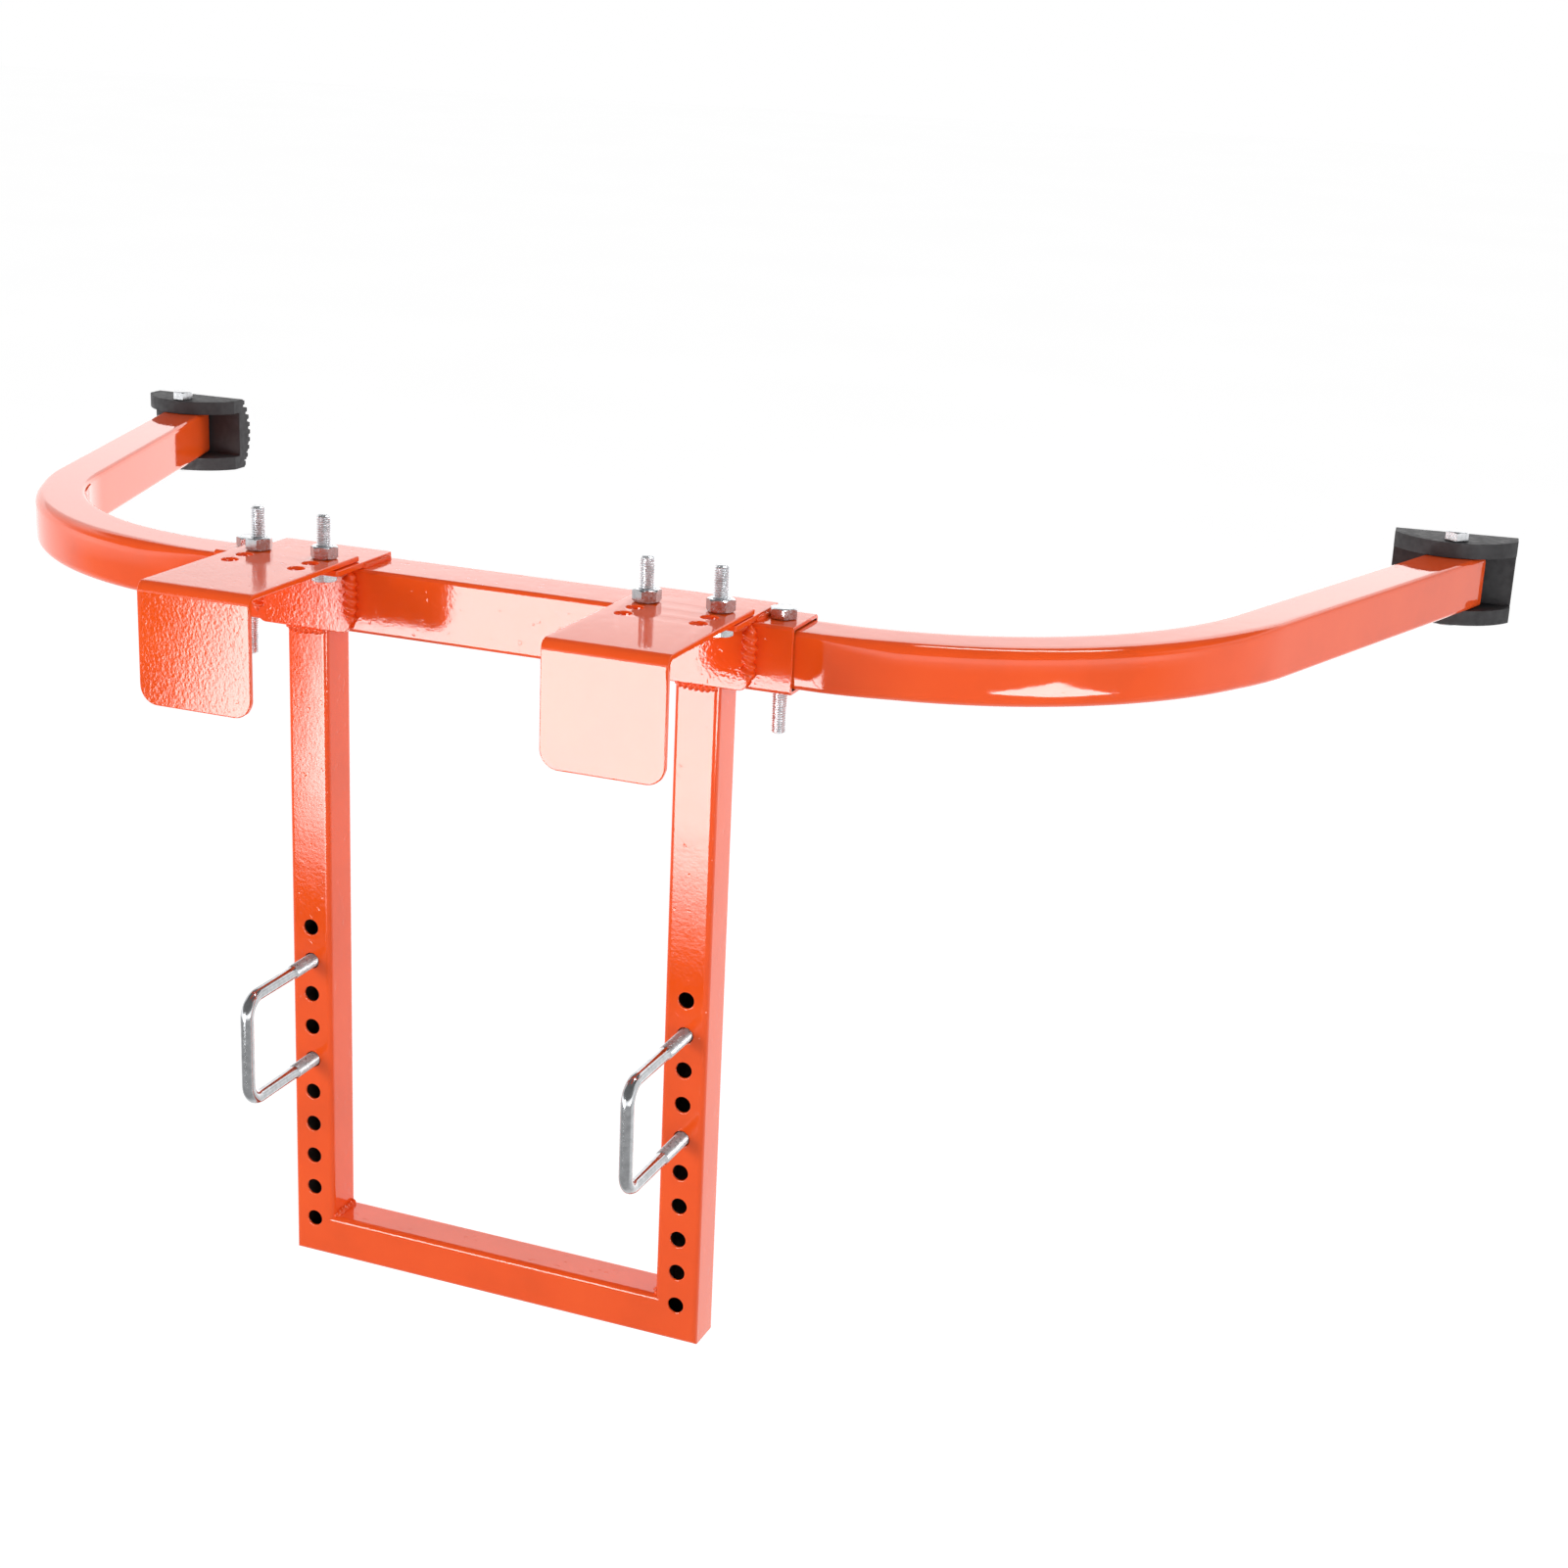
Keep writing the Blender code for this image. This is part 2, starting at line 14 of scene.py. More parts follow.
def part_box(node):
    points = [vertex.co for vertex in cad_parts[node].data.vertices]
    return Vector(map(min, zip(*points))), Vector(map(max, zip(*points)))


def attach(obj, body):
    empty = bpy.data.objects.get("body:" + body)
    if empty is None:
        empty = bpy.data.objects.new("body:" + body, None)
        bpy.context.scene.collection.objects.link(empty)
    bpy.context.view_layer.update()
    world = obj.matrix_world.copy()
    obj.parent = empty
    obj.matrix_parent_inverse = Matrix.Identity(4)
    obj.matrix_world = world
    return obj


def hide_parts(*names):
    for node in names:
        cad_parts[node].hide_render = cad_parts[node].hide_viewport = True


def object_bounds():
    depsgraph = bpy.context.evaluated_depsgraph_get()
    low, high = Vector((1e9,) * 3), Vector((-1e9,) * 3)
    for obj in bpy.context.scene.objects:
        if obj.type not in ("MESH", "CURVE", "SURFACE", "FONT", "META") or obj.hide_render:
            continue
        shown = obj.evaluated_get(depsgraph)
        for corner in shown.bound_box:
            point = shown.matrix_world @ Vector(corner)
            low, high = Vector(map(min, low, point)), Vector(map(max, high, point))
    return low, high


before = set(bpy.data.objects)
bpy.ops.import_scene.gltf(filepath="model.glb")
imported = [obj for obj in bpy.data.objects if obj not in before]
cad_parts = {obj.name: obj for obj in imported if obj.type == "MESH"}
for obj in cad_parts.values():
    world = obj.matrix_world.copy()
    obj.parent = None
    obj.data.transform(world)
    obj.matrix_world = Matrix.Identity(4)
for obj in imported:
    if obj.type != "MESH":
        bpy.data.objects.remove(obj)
cad_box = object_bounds()

SIDES = (("left", -1), ("right", 1))
MM = 0.001

# ---- sizes of the details, and steps that round shapes are made in ----
TUBE_WALL = 1.5 * MM
CROSSBAR_WALL = 2.0 * MM
INNER_CORNER = 0.6 * MM
CORNER_STEPS = 7
TUBE_CORNER = 3.0 * MM           # legs and bottom bar
CROSSBAR_CORNER = 2.2 * MM
ARM_CORNER = 3.0 * MM
EDGE_ROUND = 0.35 * MM           # softened edge under the powder coat
HOLE_ROUND = 0.6 * MM            # the same at the leg holes' rims
PLATE_ROUND = 0.6 * MM           # the same at the hook plates' rims
BEVEL_STEPS = 3
HOLE = 9.0 * MM
HOLE_SIDES = 40
HOLE_MARGIN = 1.0 * MM           # beyond a hole's rim, what still counts as its edge
LEG_HOLE_PITCH = 20 * MM
LEG_HOLE_FIRST = 22 * MM
LEG_HOLES = 10
ARM_BEND_START = 182 * MM
ARM_BEND_RADIUS = 196 * MM
ARM_BEND_ANGLE = math.radians(72.3)
ARM_STRAIGHT = 240 * MM
ARM_FACETS = 56                  # along the bend
ARM_FLATS = 8                    # across each side of the tube
ARM_RAMP = 8                     # facets over which the bend's distortion sets in
ARM_BULGE = 0.45 * MM            # outer wall's crown where the tube is bent
BEND_SOFTENING = 2.5 * MM        # how much rounder its outer corners get there
HOOK_BEND = 5.5 * MM
HOOK_CORNER = 10 * MM
HOOK_REAR_CORNER = 2.5 * MM
HOOK_ROW_PITCH = 14 * MM
HOOK_ROWS = 3
FOLD_STEPS = 14
BASE_CORNER = 1.5 * MM
FRONT_CORNER = 5.0 * MM
FRONT_ROUND = 0.5 * MM
PLATE = 3.0 * MM
M8_FLATS = 13.0 * MM
M8_RADIUS = 4.0 * MM
M8_PITCH = 1.25 * MM
M8_THREAD_DEPTH = 0.74 * MM
M8_HEAD = 5.3 * MM
NUT_BORE = 4.12 * MM
NUT_MOUTH = 0.5 * MM             # chamfer where the bore opens
HEX_SIDES = 72
ROD_SIDES = 28
THREAD_STEPS = 8                 # rings for each turn of thread
HOOK_BOLT_THREAD = 24 * MM
PIN_BOLT_THREAD = 22 * MM
FIT_GAP = 0.3 * MM
CLAMP_BAR = 7.2 * MM
CLAMP_BEND = 11 * MM
CLAMP_THREAD = 58 * MM
FOOT_WIDTH = 70 * MM
FOOT_FRONT = 9.5 * MM            # flange's nose ahead of the bolt
FOOT_ENDS = 11 * MM
FOOT_INNER_WALL = 17.2 * MM
FOOT_EDGE = 22.5 * MM
FOOT_NUT_BORE = 16 * MM
FOOT_NUT_RECESS = 5.5 * MM
FOOT_BULGE = 8.5 * MM
FOOT_RIBS = 9
FOOT_RIB_DEPTH = 2 * MM
FOOT_RIB_CROWN = (0.3, 0.8)
FOOT_RIB_SLOPE = 0.1
FOOT_TURN = {"left": 0.0, "right": 6.0}
FOOT_ROUND = 0.45 * MM
BEAD_STEP = 0.3 * MM             # between a weld bead's rings
BEAD_SIDES = 18
BEAD_RIPPLE = 1.7 * MM

# ---- light and view ----
WORLD_LEVEL = 2.2
# Reflected studio: (elevation in degrees, level) behind the object and ahead of it,
# and (share of the way from -X to +X, level).
WORLD_BEHIND = [(-60, 0.5), (-30, 0.8), (13.2, 1.0), (14.4, 0.72), (24, 0.76),
                (29, 1.0), (32.5, 1.0), (37.5, 0.12), (80, 0.1)]
WORLD_AHEAD = [(-60, 0.26), (-13, 0.26), (-9, 1.0), (4, 1.0), (8, 0.13), (80, 0.1)]
WORLD_ACROSS = [(0.15, 0.7), (0.27, 0.92), (0.43, 1.0), (0.6, 1.0), (0.76, 0.62)]
WORLD_TURNOVER = 0.18            # half the width of the blend between ahead and behind
FLOOR_DROP = 0.35
FLOOR_REACH = 20.0
CAMERA_PLACE = (0.59081, -1.1378, 0.32097)
CAMERA_YAW = 22.286              # degrees, as are the next two
CAMERA_PITCH = -17.975
CAMERA_ROLL = 2.091
CAMERA_LENS = 58.135
CAMERA_SHIFT = (0.0501, 0.0096)


def box(node):
    """A CAD node's corners as vectors, with its middle and its size."""
    low, high = (Vector(corner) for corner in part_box(node))
    return low, high, (low + high) / 2, high - low


# ---- materials ----
def node_material(name, colour, roughness, metallic=0.0):
    """A Principled material with its node tree and its shader."""
    mat = bpy.data.materials.new(name)
    mat.use_nodes = True
    tree = mat.node_tree
    shader = tree.nodes["Principled BSDF"]
    shader.inputs["Base Color"].default_value = (*colour, 1.0)
    shader.inputs["Roughness"].default_value = roughness
    shader.inputs["Metallic"].default_value = metallic
    return mat, tree, shader


def noise_node(tree, scale, detail=2.0, rough=0.5):
    """Noise over the object's own metres."""
    place = tree.nodes.new("ShaderNodeTexCoord")
    texture = tree.nodes.new("ShaderNodeTexNoise")
    texture.inputs["Scale"].default_value = scale
    texture.inputs["Detail"].default_value = detail
    texture.inputs["Roughness"].default_value = rough
    tree.links.new(place.outputs["Object"], texture.inputs["Vector"])
    return texture.outputs["Fac"]


def ramp(tree, source, stops):
    """A colour ramp; each stop is (position, colour or grey value)."""
    node = tree.nodes.new("ShaderNodeValToRGB")
    elements = node.color_ramp.elements
    while len(elements) < len(stops):
        elements.new(0.5)
    for element, (position, value) in zip(elements, stops):
        colour = value if isinstance(value, tuple) else (value, value, value)
        element.position = position
        element.color = (*colour, 1.0)
    tree.links.new(source, node.inputs["Fac"])
    return node.outputs["Color"]


def add_bump(tree, shader, layers):
    """Chain bump nodes; each layer is (height socket, depth in metres)."""
    normal = None
    for height, depth in layers:
        bump = tree.nodes.new("ShaderNodeBump")
        bump.inputs["Strength"].default_value = 1.0
        bump.inputs["Distance"].default_value = depth
        tree.links.new(height, bump.inputs["Height"])
        if normal:
            tree.links.new(normal, bump.inputs["Normal"])
        normal = bump.outputs["Normal"]
    tree.links.new(normal, shader.inputs["Normal"])


def powder_coat(name, peel, waviness, pits, roughness):
    """Glossy orange powder coat; peel, waviness and pits are depths in metres."""
    mat, tree, shader = node_material(name, ORANGE, roughness)
    dark = tuple(0.93 * c for c in ORANGE)
    light = (min(1.0, ORANGE[0] * 1.03), ORANGE[1] * 1.1, ORANGE[2] * 1.15)
    tint = ramp(tree, noise_node(tree, 24.0, 3.0),
                [(0.3, dark), (0.5, ORANGE), (0.72, light)])
    tree.links.new(tint, shader.inputs["Base Color"])
    gloss = ramp(tree, noise_node(tree, 90.0, 3.0),
                 [(0.35, 0.75 * roughness), (0.7, 1.4 * roughness)])
    tree.links.new(gloss, shader.inputs["Roughness"])
    spots = ramp(tree, noise_node(tree, 260.0, 0.0), [(0.2, 0.0), (0.25, 1.0)])
    add_bump(tree, shader, [(noise_node(tree, 950.0, 0.0), 0.3 * peel),
                            (noise_node(tree, 500.0, 1.0), peel),
                            (noise_node(tree, 95.0, 1.0), waviness),
                            (spots, pits)])
    return mat


def zinc_plate(name, level, roughness):
    """Bright zinc: mottled tone and gloss, and a faint grain."""
    grey = (level, 1.02 * level, 1.05 * level)
    mat, tree, shader = node_material(name, grey, roughness, 1.0)
    dull = tuple(0.86 * c for c in grey)
    bright = tuple(1.14 * c for c in grey)
    tone = ramp(tree, noise_node(tree, 300.0, 4.0), [(0.3, dull), (0.7, bright)])
    tree.links.new(tone, shader.inputs["Base Color"])
    gloss = ramp(tree, noise_node(tree, 700.0, 3.0),
                 [(0.3, roughness * 0.7), (0.75, roughness * 1.5)])
    tree.links.new(gloss, shader.inputs["Roughness"])
    add_bump(tree, shader, [(noise_node(tree, 1100.0, 2.0), 0.006 * MM)])
    return mat


def black_rubber():
    """Moulded rubber: near black, matte, with a fine grain and dusty patches."""
    mat, tree, shader = node_material("rubber_black", RUBBER, 0.62)
    dusty = tuple(min(1.0, 1.8 * c) for c in RUBBER)
    tone = ramp(tree, noise_node(tree, 60.0, 5.0, 0.6), [(0.35, RUBBER), (0.75, dusty)])
    tree.links.new(tone, shader.inputs["Base Color"])
    gloss = ramp(tree, noise_node(tree, 260.0, 3.0), [(0.3, 0.5), (0.7, 0.72)])
    tree.links.new(gloss, shader.inputs["Roughness"])
    add_bump(tree, shader, [(noise_node(tree, 1500.0, 2.0), 0.03 * MM),
                            (noise_node(tree, 180.0, 2.0), 0.06 * MM)])
    return mat


def uncoated_steel_and_painted_shade():
    """The uncoated inside of the tubes, its steel darkened to near black as painted shade for the
    tubes' shaded hollows.
    """
    mat, tree, shader = node_material("steel_inside_tubes_painted_shade", (0.045, 0.035, 0.03), 0.7, 0.3)
    tone = ramp(tree, noise_node(tree, 120.0, 4.0),
                [(0.35, (0.03, 0.022, 0.018)), (0.7, (0.07, 0.05, 0.04))])
    tree.links.new(tone, shader.inputs["Base Color"])
    add_bump(tree, shader, [(noise_node(tree, 500.0, 2.0), 0.05 * MM)])
    return mat


ORANGE = (0.93, 0.095, 0.010)
RUBBER = (0.022, 0.021, 0.023)
COAT_SMOOTH = powder_coat("orange_coat_smooth", 0.003 * MM, 0.02 * MM, 0.01 * MM, 0.04)
COAT_TUBE = powder_coat("orange_coat_tube", 0.03 * MM, 0.05 * MM, 0.05 * MM, 0.07)
COAT_PEEL = powder_coat("orange_coat_peel", 0.058 * MM, 0.03 * MM, 0.05 * MM, 0.06)
ZINC = zinc_plate("zinc_bright", 0.5, 0.2)
ZINC_THREAD = zinc_plate("zinc_thread", 0.74, 0.32)
ZINC_BAR = zinc_plate("zinc_bar", 0.44, 0.14)
RUBBER_MAT = black_rubber()
# inside walls of the tubes: uncoated steel, made near black as painted shade inside the hollow
STEEL_AND_SHADE = uncoated_steel_and_painted_shade()


# ---- mesh helpers ----
def add_piece(name, bm, materials, sharp=32.0):
    """Turn a bmesh into an object with outward faces and smooth round sides."""
    bmesh.ops.recalc_face_normals(bm, faces=bm.faces)
    if bm.calc_volume(signed=True) < 0:
        bmesh.ops.reverse_faces(bm, faces=bm.faces)
    mesh = bpy.data.meshes.new(name)
    bm.to_mesh(mesh)
    bm.free()
    for mat in materials:
        mesh.materials.append(mat)
    mesh.shade_smooth()
    mesh.set_sharp_from_angle(angle=math.radians(sharp))
    obj = bpy.data.objects.new(name, mesh)
    bpy.context.collection.objects.link(obj)
    return obj


def baked(obj):
    """Put the object's modifiers into its mesh."""
    bpy.context.view_layer.update()
    result = obj.evaluated_get(bpy.context.evaluated_depsgraph_get())
    mesh = bpy.data.meshes.new_from_object(result)
    obj.modifiers.clear()
    old, obj.data = obj.data, mesh
    bpy.data.meshes.remove(old)
    mesh.name = obj.name


def boolean(obj, operation, bm):
    """Cut or keep what a tool mesh covers; the tool is used up."""
    tool = add_piece("tool", bm, [])
    step = obj.modifiers.new("cut", "BOOLEAN")
    step.operation = operation
    step.object = tool
    baked(obj)
    data = tool.data
    bpy.data.objects.remove(tool)
    bpy.data.meshes.remove(data)


def round_edges(obj, width, rounded=None, angle=40.0):
    """Bevel the crisp edges that rounded(edge middle) accepts, then even out the normals."""
    mesh = obj.data
    bm = bmesh.new()
    bm.from_mesh(mesh)
    weights = bm.edges.layers.float.new("bevel_weight_edge")
    for edge in bm.edges:
        middle = (edge.verts[0].co + edge.verts[1].co) / 2
        crisp = edge.calc_face_angle(0.0) > math.radians(angle)
        edge[weights] = 1.0 if crisp and (rounded is None or rounded(middle)) else 0.0
        if edge[weights]:
            edge.smooth = True
    bm.to_mesh(mesh)
    bm.free()
    bevel = obj.modifiers.new("rounded", "BEVEL")
    bevel.limit_method = "WEIGHT"
    bevel.width = width
    bevel.segments = BEVEL_STEPS
    even_normals(obj)


def even_normals(obj):
    """Let the large faces set the shading, so narrow bevels look round."""
    step = obj.modifiers.new("normals", "WEIGHTED_NORMAL")
    step.keep_sharp = True
    step.weight = 80


def placed(piece, body, slot, *nodes):
    """Hang the piece on its body's empty and hide the CAD nodes it stands for; slot is not used."""
    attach(piece, body)
    if nodes:
        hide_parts(*nodes)
    return piece


def arc(centre, radius, start, end, steps):
    """Points on an arc, angles in degrees, both ends included."""
    angles = [math.radians(start + (end - start) * i / steps) for i in range(steps + 1)]
    return [(centre[0] + radius * math.cos(a), centre[1] + radius * math.sin(a)) for a in angles]


def circle(radius, sides, u=0.0, v=0.0):
    """Points round a circle, the first towards +u."""
    angles = [2 * math.pi * i / sides for i in range(sides)]
    return [(u + radius * math.cos(a), v + radius * math.sin(a)) for a in angles]


def add_prism(bm, outline, axes, start, end):
    """Extrude a flat outline along the third of the given axes."""
    u_axis, v_axis, w_axis = (Vector(axis) for axis in axes)
    rings = [[bm.verts.new(u_axis * u + v_axis * v + w_axis * w) for u, v in outline]
             for w in (start, end)]
    bm.faces.new(rings[0])
    bm.faces.new(rings[1])
    bridge(bm, rings)


def bridge(bm, rings, index=0, closed=True):
    """Skin a row of rings that all have the same number of points."""
    count = len(rings[0])
    for first, second in zip(rings, rings[1:]):
        for i in range(count if closed else count - 1):
            j = (i + 1) % count
            face = bm.faces.new((first[i], first[j], second[j], second[i]))
            face.material_index = index


# Axes of an outline's u and v, and of the direction it is extruded in.
UPRIGHT = ((1, 0, 0), (0, 1, 0), (0, 0, 1))
FACING = ((1, 0, 0), (0, 0, 1), (0, 1, 0))
SIDEWAYS = ((0, 1, 0), (0, 0, 1), (1, 0, 0))


# ---- square tubes ----
def rounded_square(size, corner, outer_corner=None, crown=0.0, flats=1):
    """Outline of a tube, each flat side in so many spans.

    The side towards -u may have its own corner radius, and swell by crown.
    """
    half = size / 2
    outer_corner = outer_corner or corner
    corners = []
    for u_sign, v_sign, start in ((1, 1, 0), (-1, 1, 90), (-1, -1, 180), (1, -1, 270)):
        radius = corner if u_sign > 0 else outer_corner
        centre = (u_sign * (half - radius), v_sign * (half - radius))
        corners.append(arc(centre, radius, start, start + 90, CORNER_STEPS))
    points = []
    for bend, following in zip(corners, corners[1:] + corners[:1]):
        points += bend
        (near_u, near_v), (far_u, far_v) = bend[-1], following[0]
        for i in range(1, flats):
            share = i / flats
            points.append((near_u + (far_u - near_u) * share, near_v + (far_v - near_v) * share))
    if not crown:
        return points
    return [(u - crown * (1 - (v / half) ** 2) * max(0.0, -u / half), v) for u, v in points]


def sweep_tube(bm, stations, size, corner, wall, strain=None, flats=1):
    """A hollow square tube through (centre, sideways, along, slant) stations.

    slant cuts an end on the skew. strain(index) says how much of the bend's
    distortion a station has: softer outer corners and a crowned outer wall.
    """
    rings = [[], []]
    for index, (centre, sideways, along, slant) in enumerate(stations):
        centre, sideways, along = Vector(centre), Vector(sideways), Vector(along)
        up = sideways.cross(along)
        share = strain(index) if strain else 0.0
        softened = corner + share * BEND_SOFTENING
        outer = rounded_square(size, corner, softened, share * ARM_BULGE, flats)
        inner = rounded_square(size - 2 * wall, max(corner - wall, INNER_CORNER), flats=flats)
        for loops, outline in zip(rings, (outer, inner)):
            loops.append([bm.verts.new(centre + sideways * u + up * v + along * (slant * u))
                          for u, v in outline])
    bridge(bm, rings[0])
    # the inner walls take slot 1: uncoated steel, darkened to near black as painted shade
    bridge(bm, rings[1], 1)
    for end in (0, -1):
        bridge(bm, [rings[0][end], rings[1][end]])


def make_crossbar():
    """The sleeve the arms plug into, drilled for their bolts."""
    low, high, middle, size = box("crossbar_sleeve")
    bm = bmesh.new()
    stations = [((x, middle.y, middle.z), (0, 1, 0), (1, 0, 0), 0.0) for x in (low.x, high.x)]
    sweep_tube(bm, stations, size.y, CROSSBAR_CORNER, CROSSBAR_WALL)
    bar = add_piece("crossbar", bm, [COAT_TUBE, STEEL_AND_SHADE])
    tools = bmesh.new()
    for side, _ in SIDES:
        bolt = box(f"arm_bolt_{side}")[2]
        add_prism(tools, circle(HOLE / 2, HOLE_SIDES, bolt.x, bolt.y), UPRIGHT, -size.y, size.y)
    boolean(bar, "DIFFERENCE", tools)
    round_edges(bar, EDGE_ROUND)
    placed(bar, "frame", "orange_powder_coat", "crossbar_sleeve")


def make_leg(side, sign):
    """An upright that meets the crossbar above and the bottom bar in a flush mitre."""
    _, _, middle, size = box(f"leg_{side}")
    bottom = box("bottom_bar")[0].z
    top = box("crossbar_sleeve")[0].z
    width = size.x
    bm = bmesh.new()
    stations = [((middle.x, middle.y, bottom + width / 2), (-sign, 0, 0), (0, 0, 1), 1.0),
                ((middle.x, middle.y, top), (-sign, 0, 0), (0, 0, 1), 0.0)]
    sweep_tube(bm, stations, width, TUBE_CORNER, TUBE_WALL)
    leg = add_piece(f"upright_{side}", bm, [COAT_TUBE, STEEL_AND_SHADE])
    tools = bmesh.new()
    for index in range(LEG_HOLES):
        z = bottom + LEG_HOLE_FIRST + index * LEG_HOLE_PITCH
        add_prism(tools, circle(HOLE / 2, HOLE_SIDES, middle.x, z), FACING, -width, 2 * width)
    boolean(leg, "DIFFERENCE", tools)
    reach = HOLE / 2 + HOLE_MARGIN
    lowest = bottom + LEG_HOLE_FIRST - reach
    highest = top - HOLE_MARGIN
    round_edges(leg, HOLE_ROUND,
                lambda p: abs(p.x - middle.x) < reach and lowest < p.z < highest)
    placed(leg, "frame", "orange_powder_coat", f"leg_{side}")


def make_bottom_bar():
    """The bar between the legs' feet, mitred at both ends."""
    _, _, middle, size = box("bottom_bar")
    width = size.y
    half = (box("leg_right")[2].x - box("leg_left")[2].x) / 2
    bm = bmesh.new()
    stations = [((middle.x - half, middle.y, middle.z), (0, 0, -1), (1, 0, 0), -1.0),
                ((middle.x + half, middle.y, middle.z), (0, 0, -1), (1, 0, 0), 1.0)]
    sweep_tube(bm, stations, width, TUBE_CORNER, TUBE_WALL)
    bar = add_piece("lower_bar", bm, [COAT_TUBE, STEEL_AND_SHADE])
    even_normals(bar)
    placed(bar, "frame", "orange_powder_coat", "bottom_bar")


def arm_stations(sign, middle_y):
    """Straight plug, one long bend towards the wall, straight end."""
    centre_y = middle_y + ARM_BEND_RADIUS
    places = [(box("arm_right")[0].x, middle_y, 0.0)]
    for i in range(ARM_FACETS + 1):
        angle = ARM_BEND_ANGLE * i / ARM_FACETS
        places.append((ARM_BEND_START + ARM_BEND_RADIUS * math.sin(angle),
                       centre_y - ARM_BEND_RADIUS * math.cos(angle), angle))
    x, y, angle = places[-1]
    places.append((x + ARM_STRAIGHT * math.cos(angle), y + ARM_STRAIGHT * math.sin(angle), angle))
    stations = []
    for x, y, angle in places:
        along = (sign * math.cos(angle), math.sin(angle), 0)
        sideways = (-sign * math.sin(angle), math.cos(angle), 0)
        stations.append(((sign * x, y, 0), sideways, along, 0.0))
    return stations


def make_arm(side, sign):
    """A bent square tube, drilled at the crossbar and at its tip."""
    height = box(f"arm_{side}")[3].z
    stations = arm_stations(sign, box("crossbar_sleeve")[2].y)
    last = len(stations) - 2

    def strain(index):
        inside = min(index - 1, last - index)
        return max(0.0, min(1.0, inside / ARM_RAMP))

    bm = bmesh.new()
    sweep_tube(bm, stations, height, ARM_CORNER, TUBE_WALL, strain, ARM_FLATS)
    arm = add_piece(f"curved_arm_{side}", bm, [COAT_SMOOTH, STEEL_AND_SHADE])
    tools = bmesh.new()
    for node in (f"arm_bolt_{side}", f"foot_bolt_{side}"):
        bolt = box(node)[2]
        add_prism(tools, circle(HOLE / 2, HOLE_SIDES, bolt.x, bolt.y), UPRIGHT, -height, height)
    boolean(arm, "DIFFERENCE", tools)
    even_normals(arm)
    placed(arm, "frame", "orange_powder_coat", f"arm_{side}")


# ---- plates ----
def flat_plate(outline, holes, thickness, edge):
    """A plate from z 0 up, with every rim rounded, as a bmesh."""
    curve = bpy.data.curves.new("plate", "CURVE")
    curve.dimensions = "2D"
    curve.fill_mode = "BOTH"
    curve.extrude = thickness / 2 - edge
    curve.bevel_depth = edge
    curve.bevel_resolution = 2
    curve.offset = -edge
    for loop in [outline] + [list(reversed(hole)) for hole in holes]:
        spline = curve.splines.new("POLY")
        spline.points.add(len(loop) - 1)
        for point, (x, y) in zip(spline.points, loop):
            point.co = (x, y, 0, 1)
        spline.use_cyclic_u = True
    shape = bpy.data.objects.new("plate", curve)
    bpy.context.collection.objects.link(shape)
    bpy.context.view_layer.update()
    result = shape.evaluated_get(bpy.context.evaluated_depsgraph_get())
    mesh = bpy.data.meshes.new_from_object(result)
    bm = bmesh.new()
    bm.from_mesh(mesh)
    bpy.data.meshes.remove(mesh)
    bpy.data.objects.remove(shape)
    bpy.data.curves.remove(curve)
    bmesh.ops.remove_doubles(bm, verts=bm.verts, dist=0.002 * MM)
    bmesh.ops.translate(bm, verts=bm.verts, vec=(0, 0, thickness / 2))
    return bm


def bolt_columns(side):
    """X of the two hook bolts."""
    return [box(f"hook_bolt_{side}_{place}")[2].x for place in ("outer", "inner")]


def make_base_plate(side):
    """The plate on top of the crossbar that the hook plate is bolted to."""
    low, high, _, size = box(f"base_plate_{side}")
    corner = BASE_CORNER
    outline = (arc((low.x + corner, low.y + corner), corner, 180, 270, 5)
               + arc((high.x - corner, low.y + corner), corner, 270, 360, 5)
               + arc((high.x - corner, high.y - corner), corner, 0, 90, 5)
               + arc((low.x + corner, high.y - corner), corner, 90, 180, 5))
    y = box(f"hook_bolt_{side}_outer")[2].y
    holes = [circle(HOLE / 2, HOLE_SIDES, x, y) for x in bolt_columns(side)]
    bm = flat_plate(outline, holes, size.z, EDGE_ROUND)
    bmesh.ops.translate(bm, verts=bm.verts, vec=(0, 0, low.z))
    plate = add_piece(f"bracket_base_{side}", bm, [COAT_PEEL])
    even_normals(plate)
    placed(plate, "frame", "orange_powder_coat", f"base_plate_{side}")


def make_front_plate(side):
    """The stiffener on the crossbar's front face, over the leg."""
    low, high, _, size = box(f"front_plate_{side}")
    corner = FRONT_CORNER
    outline = (arc((low.x + corner, low.z + corner), corner, 180, 270, 8)
               + arc((high.x - corner, low.z + corner), corner, 270, 360, 8)
               + [(high.x, high.z), (low.x, high.z)])
    bm = flat_plate(outline, [], size.y, FRONT_ROUND)
    turn = Matrix.Rotation(math.radians(90), 4, "X")
    bmesh.ops.transform(bm, matrix=Matrix.Translation((0, high.y, 0)) @ turn, verts=bm.verts)
    plate = add_piece(f"front_stiffener_{side}", bm, [COAT_PEEL])
    even_normals(plate)
    placed(plate, "frame", "orange_powder_coat", f"front_plate_{side}")


